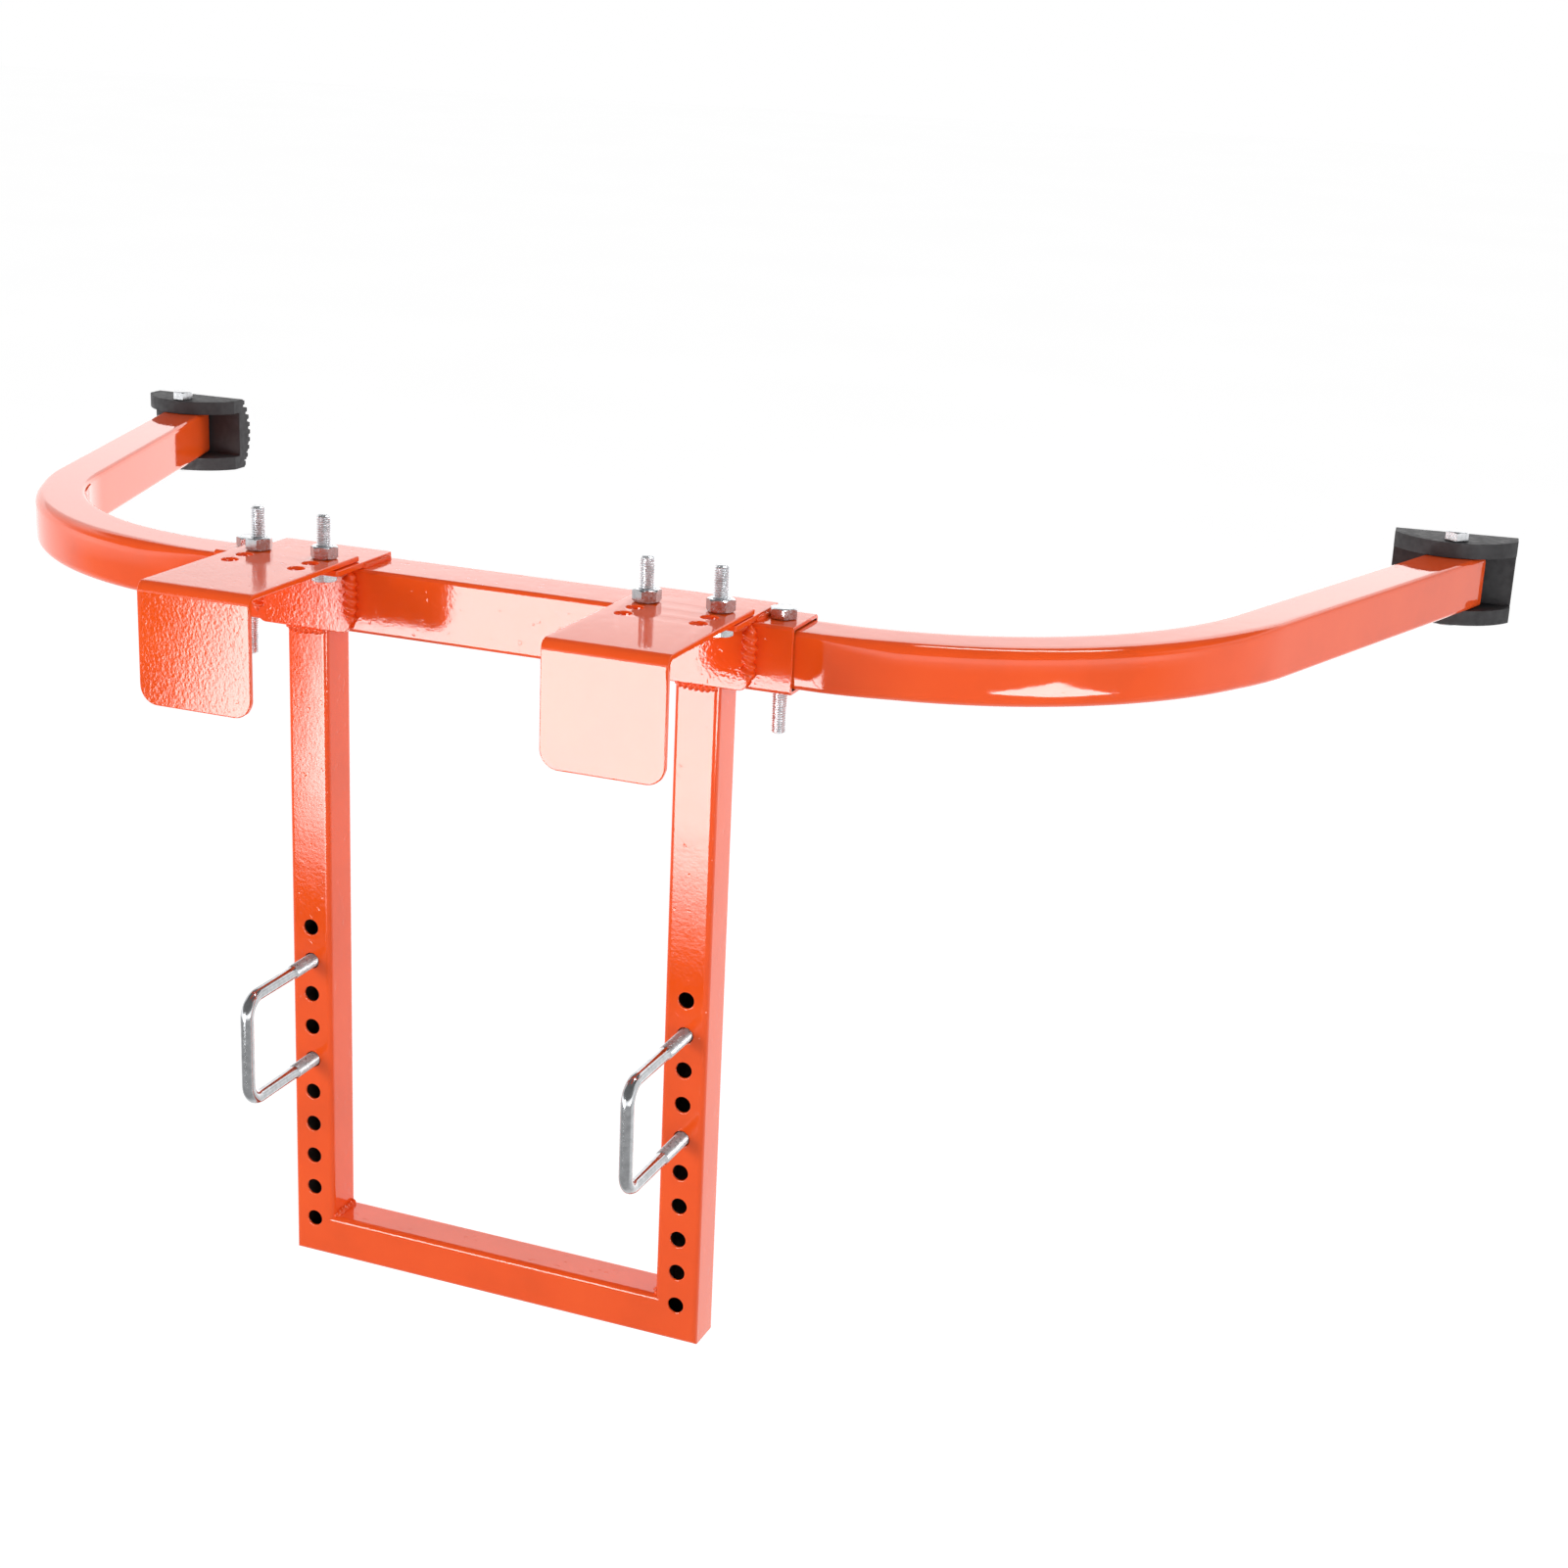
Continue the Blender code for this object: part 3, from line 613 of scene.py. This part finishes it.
def make_hook_plate(side):
    """Cut flat from sheet with rounded rims, then folded over at the front."""
    low, high, middle, size = box(f"hook_plate_{side}")
    inner = HOOK_BEND - PLATE
    fold = math.pi / 2 * (inner + PLATE / 2)
    flat = high.y - (low.y + HOOK_BEND)
    length = flat + fold + (high.z - HOOK_BEND) - low.z
    half = size.x / 2
    rear, front = HOOK_REAR_CORNER, HOOK_CORNER
    outline = (arc((-half + rear, rear), rear, 180, 270, 6)
               + arc((half - rear, rear), rear, 270, 360, 6)
               + arc((half - front, length - front), front, 0, 90, 12)
               + arc((-half + front, length - front), front, 90, 180, 12))
    first_row = high.y - box(f"hook_bolt_{side}_outer")[2].y
    holes = [circle(HOLE / 2, HOLE_SIDES, x - middle.x, first_row + row * HOOK_ROW_PITCH)
             for x in bolt_columns(side) for row in range(HOOK_ROWS)]
    bm = flat_plate(outline, holes, PLATE, PLATE_ROUND)
    for i in range(FOLD_STEPS + 1):
        bmesh.ops.bisect_plane(bm, geom=bm.verts[:] + bm.edges[:] + bm.faces[:],
                               plane_co=(0, flat + fold * i / FOLD_STEPS, 0), plane_no=(0, 1, 0))
    centre_y, centre_z = low.y + HOOK_BEND, high.z - HOOK_BEND
    for vert in bm.verts:
        x, run, depth = vert.co
        bent = run - flat
        if bent <= 0:
            y, z = high.y - run, high.z - PLATE + depth
        elif bent < fold:
            angle = bent / fold * math.pi / 2
            y = centre_y - (inner + depth) * math.sin(angle)
            z = centre_z + (inner + depth) * math.cos(angle)
        else:
            y, z = centre_y - inner - depth, centre_z - (bent - fold)
        vert.co = (x + middle.x, y, z)
    coat = COAT_PEEL if side == "left" else COAT_SMOOTH
    plate = add_piece(f"rung_hook_{side}", bm, [coat])
    even_normals(plate)
    placed(plate, "frame", "orange_powder_coat", f"hook_plate_{side}")


# ---- fasteners ----
def hex_reach(angle):
    """Distance from a hexagon's middle to its edge in that direction."""
    within = (math.degrees(angle) + 30) % 60 - 30
    return M8_FLATS / 2 / math.cos(math.radians(within))


def hex_rings(bm, bottom, top, chamfer_bottom=False):
    """Rings of a chamfered hexagon from bottom to top, as lists of vertices."""
    edge = 0.955 * M8_FLATS / 2
    slope = math.tan(math.radians(30))
    angles = [2 * math.pi * i / HEX_SIDES for i in range(HEX_SIDES)]

    def ring(reach, height):
        return [bm.verts.new((reach(a) * math.cos(a), reach(a) * math.sin(a), height(a)))
                for a in angles]

    def cut(angle):
        return max(0.0, hex_reach(angle) - edge) * slope

    lower_cut = cut if chamfer_bottom else (lambda a: 0.15 * MM)
    return [ring(lambda a: edge, lambda a: bottom),
            ring(hex_reach, lambda a: bottom + lower_cut(a)),
            ring(hex_reach, lambda a: top - cut(a)),
            ring(lambda a: edge, lambda a: top)]


def thread_radius(distance, turn, tip_distance):
    """Radius of an M8 thread at a distance along it; the tip is chamfered."""
    phase = (distance / M8_PITCH - turn) % 1.0
    depth = min(1.0, max(0.0, 1.25 - 2.5 * abs(phase - 0.5)))
    radius = M8_RADIUS - M8_THREAD_DEPTH * (1.0 - depth)
    return min(radius, M8_RADIUS - 0.9 * MM + tip_distance)


def rod_rings(bm, stations, radius_at):
    """Rings along a path of (point, along, across, distance) stations."""
    rings = []
    for point, along, across, distance in stations:
        up = along.cross(across)
        ring = []
        for i in range(ROD_SIDES):
            turn = i / ROD_SIDES
            angle = 2 * math.pi * turn
            radius = radius_at(distance, turn)
            reach_u, reach_v = radius * math.cos(angle), radius * math.sin(angle)
            ring.append(bm.verts.new(point + across * reach_u + up * reach_v))
        rings.append(ring)
    return rings


def close_ends(bm, rings):
    """Cap the first and the last ring."""
    bm.faces.new(rings[0])
    bm.faces.new(rings[-1])


def make_bolt(name, node, body, head_up, threaded, spin):
    """A hex bolt in a CAD bolt's place; threaded is the length of its thread."""
    low, high, middle, size = box(node)
    head = M8_HEAD
    length = size.z - head
    bm = bmesh.new()
    rings = hex_rings(bm, 0, head)
    bridge(bm, rings)
    inset = [bm.verts.new((v.co.x * 0.3, v.co.y * 0.3, head - 0.1 * MM)) for v in rings[-1]]
    bridge(bm, [rings[-1], inset])
    close_ends(bm, [rings[0], inset])
    start = length - threaded
    distances = [-0.2 * MM, start - 0.4 * MM]
    count = int(threaded / M8_PITCH * THREAD_STEPS)
    distances += [start + threaded * i / count for i in range(count + 1)]
    down, across = Vector((0, 0, -1)), Vector((1, 0, 0))
    stations = [(Vector((0, 0, -d)), down, across, d) for d in distances]

    def radius_at(distance, turn):
        if distance < start:
            return M8_RADIUS - 0.1 * MM
        return thread_radius(distance, turn, length - distance)

    shank = rod_rings(bm, stations, radius_at)
    bridge(bm, shank, 1)
    close_ends(bm, shank)
    flip = Matrix.Identity(4) if head_up else Matrix.Rotation(math.pi, 4, "X")
    seat = high.z - head if head_up else low.z + head
    turn = Matrix.Rotation(math.radians(spin), 4, "Z")
    place = Matrix.Translation((middle.x, middle.y, seat))
    bmesh.ops.transform(bm, matrix=place @ turn @ flip, verts=bm.verts)
    bolt = add_piece(name, bm, [ZINC, ZINC_THREAD], sharp=50)
    placed(bolt, body, "zinc_plated_steel", node)


def make_nut(name, node, body, axis, spin):
    """A hex nut chamfered on both faces, its axis along Z or Y."""
    _, _, middle, size = box(node)
    height = size.z if axis == "Z" else size.y
    bm = bmesh.new()
    rings = hex_rings(bm, -height / 2, height / 2, chamfer_bottom=True)

    def hole_ring(radius, z):
        return [bm.verts.new((u, v, z)) for u, v in circle(radius, HEX_SIDES)]

    mouth = NUT_BORE + NUT_MOUTH
    inner = [hole_ring(mouth, height / 2), hole_ring(NUT_BORE, height / 2 - NUT_MOUTH),
             hole_ring(NUT_BORE, -height / 2 + NUT_MOUTH), hole_ring(mouth, -height / 2)]
    bridge(bm, rings + inner + [rings[0]])
    turn = Matrix.Rotation(math.radians(spin), 4, "Z")
    lie = Matrix.Identity(4) if axis == "Z" else Matrix.Rotation(math.radians(-90), 4, "X")
    bmesh.ops.transform(bm, matrix=Matrix.Translation(middle) @ lie @ turn, verts=bm.verts)
    nut = add_piece(name, bm, [ZINC], sharp=24)
    placed(nut, body, "zinc_plated_steel", node)


def make_hook_fasteners(side, sign):
    """The two bolts that hold a hook plate, each tightened to its own angle."""
    for index, place in enumerate(("outer", "inner")):
        spin = 14 + 23 * index + 9 * sign
        make_bolt(f"bracket_bolt_{side}_{place}", f"hook_bolt_{side}_{place}", "frame",
                  False, HOOK_BOLT_THREAD, spin)
        make_nut(f"bracket_nut_{side}_{place}", f"hook_nut_{side}_{place}", "frame", "Z", spin + 17)


def make_arm_fasteners(side, sign):
    """The bolts down through an arm's plug and its tip, with their nuts."""
    make_bolt(f"arm_pin_bolt_{side}", f"arm_bolt_{side}", "frame",
              True, PIN_BOLT_THREAD, 8 + 15 * sign)
    make_nut(f"arm_inner_nut_{side}", f"arm_weld_nut_{side}", "frame", "Z", 11)
    make_bolt(f"shoe_bolt_{side}", f"foot_bolt_{side}", "frame",
              True, PIN_BOLT_THREAD, 20 - 12 * sign)
    make_nut(f"shoe_nut_{side}", f"foot_nut_{side}", "frame", "Z", 5)


def make_ubolt(side, sign):
    """Smooth bar bent twice, with a rolled thread on both arms."""
    low, high, middle, size = box(f"ubolt_{side}")
    plain = CLAMP_BAR / 2
    tip = high.y - (low.y + plain)
    lower, upper = low.z + size.x / 2, high.z - size.x / 2
    height = upper - lower
    across = Vector((1, 0, 0))
    origin = Vector((middle.x, low.y + plain, lower))

    def station(y, z, dy, dz, distance):
        return origin + Vector((0, y, z)), Vector((0, dy, dz)), across, distance

    count = int(CLAMP_THREAD / M8_PITCH * THREAD_STEPS)
    run = [CLAMP_THREAD * i / count for i in range(count + 1)]
    run += [CLAMP_THREAD + 1.2 * MM, CLAMP_THREAD + 4 * MM]
    arm = [station(tip - d, 0, -1, 0, d) for d in run]
    bend = [station(CLAMP_BEND - CLAMP_BEND * math.sin(a), CLAMP_BEND - CLAMP_BEND * math.cos(a),
                    -math.cos(a), math.sin(a), 1.0)
            for a in (math.pi / 2 * i / FOLD_STEPS for i in range(FOLD_STEPS + 1))]
    back_bend = [station(p.y - origin.y, height - (p.z - origin.z), -t.y, t.z, d)
                 for p, t, _, d in reversed(bend)]
    back_arm = [station(p.y - origin.y, height, 1, 0, d) for p, _, _, d in reversed(arm)]

    def radius_at(distance, turn):
        if distance <= CLAMP_THREAD:
            return thread_radius(distance, turn, distance)
        return plain

    bm = bmesh.new()
    rings = rod_rings(bm, arm + bend + back_bend + back_arm, radius_at)
    bridge(bm, rings)
    close_ends(bm, rings)
    for face in bm.faces:
        if face.calc_center_median().y > high.y - CLAMP_THREAD:
            face.material_index = 1
    bolt = add_piece(f"rung_ubolt_{side}", bm, [ZINC_BAR, ZINC_THREAD], sharp=50)
    placed(bolt, f"clamp_{side}", "zinc_plated_steel", f"ubolt_{side}")
    for place, spin in (("lower", 12), ("upper", 37)):
        make_nut(f"ubolt_lock_nut_{side}_{place}", f"ubolt_nut_{side}_{place}",
                 f"clamp_nut_{side}_{place}", "Y", spin + 8 * sign)


# ---- feet ----
def pad_profile(half):
    """Side view of the pad's back, bottom to top: flat ribs on a barrel curve."""
    radius = (half ** 2 + FOOT_BULGE ** 2) / (2 * FOOT_BULGE)
    pitch = 2 * half / FOOT_RIBS
    start, end = FOOT_RIB_CROWN
    points = []
    for rib in range(FOOT_RIBS):
        low = -half + rib * pitch
        middle = low + pitch / 2
        crown = FOOT_EDGE + FOOT_BULGE - radius + math.sqrt(radius ** 2 - middle ** 2)
        groove = crown - FOOT_RIB_DEPTH
        points.append((groove, low))
        if rib:
            points.append((groove, low + (start - FOOT_RIB_SLOPE) * pitch))
        points += [(crown, low + start * pitch), (crown, low + end * pitch),
                   (groove, low + (end + FOOT_RIB_SLOPE) * pitch)]
    return points + [(points[0][0], half)]


def make_foot(side):
    """A moulded shoe: two D-shaped flanges round the arm's tip and a ribbed pad."""
    size = box(f"foot_{side}")[3]
    pin = box(f"foot_bolt_{side}")[2]
    half = size.z / 2
    inner = box(f"arm_{side}")[3].z / 2 + FIT_GAP
    spare = 10 * MM
    profile = pad_profile(half)
    profile += [(-FOOT_FRONT - spare, half), (-FOOT_FRONT - spare, inner), (FOOT_INNER_WALL, inner)]
    profile += [(FOOT_INNER_WALL, -inner), (-FOOT_FRONT - spare, -inner), (-FOOT_FRONT - spare, -half)]
    wide = FOOT_WIDTH / 2
    bm = bmesh.new()
    add_prism(bm, profile, SIDEWAYS, -wide - spare, wide + spare)
    foot = add_piece(f"rubber_shoe_{side}", bm, [RUBBER_MAT], sharp=30)
    rise = FOOT_FRONT + FOOT_ENDS
    nose_radius = (wide ** 2 + rise ** 2) / (2 * rise)
    reach = math.degrees(math.asin(wide / nose_radius))
    nose = arc((0, nose_radius - FOOT_FRONT), nose_radius, 270 - reach, 270 + reach, 44)
    back = FOOT_EDGE + FOOT_BULGE + spare
    trim = bmesh.new()
    add_prism(trim, nose + [(wide, back), (-wide, back)], UPRIGHT, -half - spare, half + spare)
    boolean(foot, "INTERSECT", trim)
    drill = bmesh.new()
    add_prism(drill, circle(HOLE / 2, HOLE_SIDES), UPRIGHT, -half - spare, half + spare)
    boolean(foot, "DIFFERENCE", drill)
    recess = bmesh.new()
    add_prism(recess, circle(FOOT_NUT_BORE / 2, HOLE_SIDES), UPRIGHT,
              -half - spare, FOOT_NUT_RECESS - half)
    boolean(foot, "DIFFERENCE", recess)
    turn = Matrix.Rotation(math.radians(FOOT_TURN[side]), 4, "Z")
    foot.data.transform(Matrix.Translation((pin.x, pin.y, 0)) @ turn)
    round_edges(foot, FOOT_ROUND, angle=30)
    placed(foot, f"foot_{side}", "black_rubber", f"foot_{side}")


# ---- welds ----
def make_bead(name, path, radius, seed, ripple=BEAD_RIPPLE):
    """A rippled fillet of weld metal along a straight path, sunk into both plates."""
    rng = random.Random(seed)
    start, end = Vector(path[0]), Vector(path[1])
    along = (end - start).normalized()
    length = (end - start).length
    side = along.cross(Vector((0.3, -1, 0.5))).normalized()
    up = side.cross(along)
    count = max(8, int(length / BEAD_STEP))
    offset = rng.uniform(0, 50)
    drift = [rng.uniform(-0.16, 0.16) for _ in range(int(length / ripple) + 3)]
    bm = bmesh.new()
    rings = []
    for i in range(count + 1):
        run = length * i / count
        taper = min(1.0, 0.35 + run / (1.6 * radius), 0.35 + (length - run) / (1.6 * radius))
        phase = run / ripple
        step = drift[int(phase)] * (1 - phase % 1) + drift[int(phase) + 1] * (phase % 1)
        ring = []
        for j in range(BEAD_SIDES):
            angle = 2 * math.pi * j / BEAD_SIDES
            lag = 0.35 * math.cos(angle)
            scale = 0.86 + 0.18 * math.cos(2 * math.pi * (phase + lag)) + step
            grain = noise.noise(Vector((run * 260 + offset, math.cos(angle), math.sin(angle))))
            reach = radius * taper * (scale + 0.1 * grain)
            ring.append(bm.verts.new(start + along * run + side * (reach * math.cos(angle))
                                     + up * (reach * math.sin(angle))))
        rings.append(ring)
    bridge(bm, rings)
    close_ends(bm, rings)
    bead = add_piece(name, bm, [COAT_SMOOTH], sharp=60)
    placed(bead, "frame", "orange_powder_coat")


def make_welds(side, sign):
    """One side's beads: along its plates, round the leg's top and in the lower corner."""
    plate_low, plate_high, _, _ = box(f"front_plate_{side}")
    base_low, base_high, _, _ = box(f"base_plate_{side}")
    leg_low, leg_high, _, _ = box(f"leg_{side}")
    bar_low, bar_high, _, _ = box("crossbar_sleeve")
    y = plate_low.y + 0.9 * MM
    low_z, high_z = bar_low.z + 5.5 * MM, bar_high.z - 1 * MM
    for place, x in (("a", plate_low.x), ("b", plate_high.x)):
        make_bead(f"weld_front_{side}_{place}", ((x, y, low_z), (x, y, high_z)),
                  4.0 * MM, 11 + 7 * sign + ord(place), 4.6 * MM)
    z = base_low.z + 0.3 * MM
    for place, x in (("a", base_low.x), ("b", base_high.x)):
        make_bead(f"weld_base_{side}_{place}", ((x, 3 * MM, z), (x, base_high.y - 2 * MM, z)),
                  1.9 * MM, 23 + 5 * sign + ord(place))
    top = leg_high.z
    left, right = leg_low.x + 1 * MM, leg_high.x - 1 * MM
    y, z = -0.8 * MM, top - 0.7 * MM
    make_bead(f"weld_leg_front_{side}", ((left, y, z), (right, y, z)),
              2.8 * MM, 41 + sign, 3.2 * MM)
    y, z = leg_high.y + 0.1 * MM, top - 0.3 * MM
    make_bead(f"weld_leg_back_{side}", ((left, y, z), (right, y, z)), 2.1 * MM, 47 + sign)
    z = top - 0.2 * MM
    for place, x in (("a", leg_low.x), ("b", leg_high.x)):
        make_bead(f"weld_leg_{side}_{place}", ((x, 2 * MM, z), (x, leg_high.y - 2 * MM, z)),
                  1.9 * MM, 53 + 3 * sign + ord(place))
    x = leg_high.x if sign < 0 else leg_low.x
    z = box("bottom_bar")[1].z
    make_bead(f"weld_corner_{side}", ((x, 1.5 * MM, z), (x, leg_high.y - 1.5 * MM, z)),
              2.8 * MM, 61 + sign, 3.2 * MM)


# ---- stage, lights and camera ----
def add_sheet(name, corners, mat):
    """A single face for the stage, which diffuse light passes by."""
    bm = bmesh.new()
    bm.faces.new([bm.verts.new(corner) for corner in corners])
    mesh = bpy.data.meshes.new(name)
    bm.to_mesh(mesh)
    bm.free()
    mesh.materials.append(mat)
    sheet = bpy.data.objects.new(name, mesh)
    bpy.context.collection.objects.link(sheet)
    sheet.visible_diffuse = False
    return sheet


def map_range(tree, source, start, end, smooth=False):
    """A source socket turned into 0 at start and 1 at end."""
    node = tree.nodes.new("ShaderNodeMapRange")
    if smooth:
        node.interpolation_type = "SMOOTHSTEP"
    node.inputs["From Min"].default_value = start
    node.inputs["From Max"].default_value = end
    tree.links.new(source, node.inputs["Value"])
    return node.outputs["Result"]


def product(tree, first, second):
    """A socket times a number or another socket."""
    node = tree.nodes.new("ShaderNodeMath")
    node.operation = "MULTIPLY"
    tree.links.new(first, node.inputs[0])
    if isinstance(second, float):
        node.inputs[1].default_value = second
    else:
        tree.links.new(second, node.inputs[1])
    return node.outputs["Value"]


def emitter(name, corners, strength, fade=()):
    """A light panel that only reflections see.

    Each fade is (direction, start, end): dark at start, full at end along it.
    """
    mat = bpy.data.materials.new(name)
    mat.use_nodes = True
    tree = mat.node_tree
    tree.nodes.clear()
    glow = tree.nodes.new("ShaderNodeEmission")
    glow.inputs["Strength"].default_value = strength
    output = tree.nodes.new("ShaderNodeOutputMaterial")
    tree.links.new(glow.outputs["Emission"], output.inputs["Surface"])
    level = None
    for direction, start, end in fade:
        place = tree.nodes.new("ShaderNodeTexCoord")
        along = tree.nodes.new("ShaderNodeVectorMath")
        along.operation = "DOT_PRODUCT"
        along.inputs[1].default_value = direction
        tree.links.new(place.outputs["Object"], along.inputs[0])
        soft = map_range(tree, along.outputs["Value"], start, end, smooth=True)
        level = soft if level is None else product(tree, level, soft)
    if level is not None:
        tree.links.new(product(tree, level, strength), glow.inputs["Strength"])
    panel = add_sheet(name, corners, mat)
    panel.visible_camera = False
    panel.visible_transmission = False
    panel.visible_shadow = False


def area_light(name, place, aim, size, power, spread=180):
    """A round lamp that lights surfaces and stays out of reflections."""
    data = bpy.data.lights.new(name, "AREA")
    data.shape = "DISK"
    data.size = size
    data.energy = power
    data.spread = math.radians(spread)
    light = bpy.data.objects.new(name, data)
    light.location = place
    light.rotation_euler = (Vector(aim) - Vector(place)).to_track_quat("-Z", "Y").to_euler()
    light.visible_glossy = False
    light.visible_camera = False
    bpy.context.collection.objects.link(light)


def grey_ramp(tree, source, stops):
    """A ramp whose stops are (elevation in degrees, level from 0 to 1)."""
    places = [((math.sin(math.radians(e)) + 1) / 2, level) for e, level in stops]
    return ramp(tree, source, places)


def make_world():
    """White to the camera; to reflections, a studio: bright behind, dim in front."""
    world = bpy.data.worlds.new("studio")
    bpy.context.scene.world = world
    world.use_nodes = True
    tree = world.node_tree
    tree.nodes.clear()
    place = tree.nodes.new("ShaderNodeTexCoord")
    split = tree.nodes.new("ShaderNodeSeparateXYZ")
    tree.links.new(place.outputs["Generated"], split.inputs["Vector"])
    height = map_range(tree, split.outputs["Z"], -1.0, 1.0)
    behind = grey_ramp(tree, height, WORLD_BEHIND)
    ahead = grey_ramp(tree, height, WORLD_AHEAD)
    across = ramp(tree, map_range(tree, split.outputs["X"], -1.0, 1.0), WORLD_ACROSS)
    dimmed = tree.nodes.new("ShaderNodeVectorMath")
    dimmed.operation = "MULTIPLY"
    tree.links.new(behind, dimmed.inputs[0])
    tree.links.new(across, dimmed.inputs[1])
    facing = map_range(tree, split.outputs["Y"], -WORLD_TURNOVER, WORLD_TURNOVER)
    blend = tree.nodes.new("ShaderNodeMix")
    blend.data_type = "RGBA"
    tree.links.new(facing, blend.inputs["Factor"])
    tree.links.new(ahead, blend.inputs["A"])
    tree.links.new(dimmed.outputs["Vector"], blend.inputs["B"])
    studio = tree.nodes.new("ShaderNodeBackground")
    studio.inputs["Strength"].default_value = WORLD_LEVEL
    tree.links.new(blend.outputs["Result"], studio.inputs["Color"])
    plain = tree.nodes.new("ShaderNodeBackground")
    plain.inputs["Color"].default_value = (1, 1, 1, 1)
    path = tree.nodes.new("ShaderNodeLightPath")
    choice = tree.nodes.new("ShaderNodeMixShader")
    output = tree.nodes.new("ShaderNodeOutputWorld")
    tree.links.new(path.outputs["Is Camera Ray"], choice.inputs["Fac"])
    tree.links.new(studio.outputs["Background"], choice.inputs[1])
    tree.links.new(plain.outputs["Background"], choice.inputs[2])
    tree.links.new(choice.outputs["Shader"], output.inputs["Surface"])


def make_floor():
    """A plain pale floor, well below the object."""
    mat, tree, shader = node_material("floor_pale", (0.3, 0.3, 0.3), 1.0)
    shader.inputs["Specular IOR Level"].default_value = 0.0
    shader.inputs["Emission Color"].default_value = (1, 1, 1, 1)
    shader.inputs["Emission Strength"].default_value = 0.86
    tone = ramp(tree, noise_node(tree, 1.5, 2.0), [(0.3, 0.29), (0.7, 0.31)])
    tree.links.new(tone, shader.inputs["Base Color"])
    low = cad_box[0].z - FLOOR_DROP
    corners = [(x * FLOOR_REACH, y * FLOOR_REACH, low) for x, y in ((-1, -1), (1, -1), (1, 1), (-1, 1))]
    floor = add_sheet("floor", corners, mat)
    floor.visible_glossy = False


def direction_quad(origin, distance, left, right, low, high):
    """A diamond that fills a range of directions, seen from origin; azimuth 0 is +Y, 90 is +X."""
    middle_a, middle_e = (left + right) / 2, (low + high) / 2
    corners = []
    for azimuth, elevation in ((left, middle_e), (middle_a, low), (right, middle_e), (middle_a, high)):
        a, e = math.radians(azimuth), math.radians(elevation)
        step = Vector((math.sin(a) * math.cos(e), math.cos(a) * math.cos(e), math.sin(e)))
        corners.append(Vector(origin) + step * distance)
    return corners


def make_lights():
    """Panels for the reflections, lamps for the surfaces."""
    make_world()
    make_floor()
    emitter("softbox_front",
            [(-0.66, -0.8, -0.56), (-0.10, -0.8, -0.56), (-0.10, -0.8, -0.12), (-0.66, -0.8, -0.12)],
            16.0, [((1, 0, -0.3), -0.56, -0.45), ((0, 0, 1), -0.525, -0.37)])
    emitter("softbox_side", direction_quad((0.29, 0.03, 0.0), 1.2, 108, 152, -21.4, -15.4), 17.0)
    emitter("softbox_top", [(0.0, 0.35, 1.5), (0.9, 0.35, 1.5), (0.9, 0.62, 1.5), (0.0, 0.62, 1.5)],
            16.0)
    area_light("front_fill", (-1.3, -2.2, 0.42), (0, 0, -0.1), 0.9, 23)
    area_light("arm_fill", (1.15, -0.5, 0.3), (0.4, 0.03, 0), 0.3, 0.2, 50)
    area_light("top_fill", (0.3, 0.4, 2.4), (0, 0, -0.1), 2.4, 16)


def make_camera():
    """The scene's camera: a little above, from the front right."""
    data = bpy.data.cameras.new("camera")
    data.sensor_width = 36
    data.lens = CAMERA_LENS
    data.shift_x, data.shift_y = CAMERA_SHIFT
    data.clip_start = 0.01
    data.clip_end = 50
    camera = bpy.data.objects.new("camera", data)
    yaw = Matrix.Rotation(math.radians(CAMERA_YAW), 4, "Z")
    pitch = Matrix.Rotation(math.radians(90 + CAMERA_PITCH), 4, "X")
    roll = Matrix.Rotation(math.radians(CAMERA_ROLL), 4, "Z")
    camera.matrix_world = Matrix.Translation(CAMERA_PLACE) @ yaw @ pitch @ roll
    bpy.context.collection.objects.link(camera)
    bpy.context.scene.camera = camera


# ---- build ----
make_camera()
make_lights()
make_crossbar()
make_bottom_bar()
for side, sign in SIDES:
    make_leg(side, sign)
    make_arm(side, sign)
    make_base_plate(side)
    make_front_plate(side)
    make_hook_plate(side)
    make_hook_fasteners(side, sign)
    make_arm_fasteners(side, sign)
    make_ubolt(side, sign)
    make_foot(side)
    make_welds(side, sign)

view_settings = bpy.context.scene.view_settings
view_settings.view_transform = "Standard"
view_settings.look = "None"
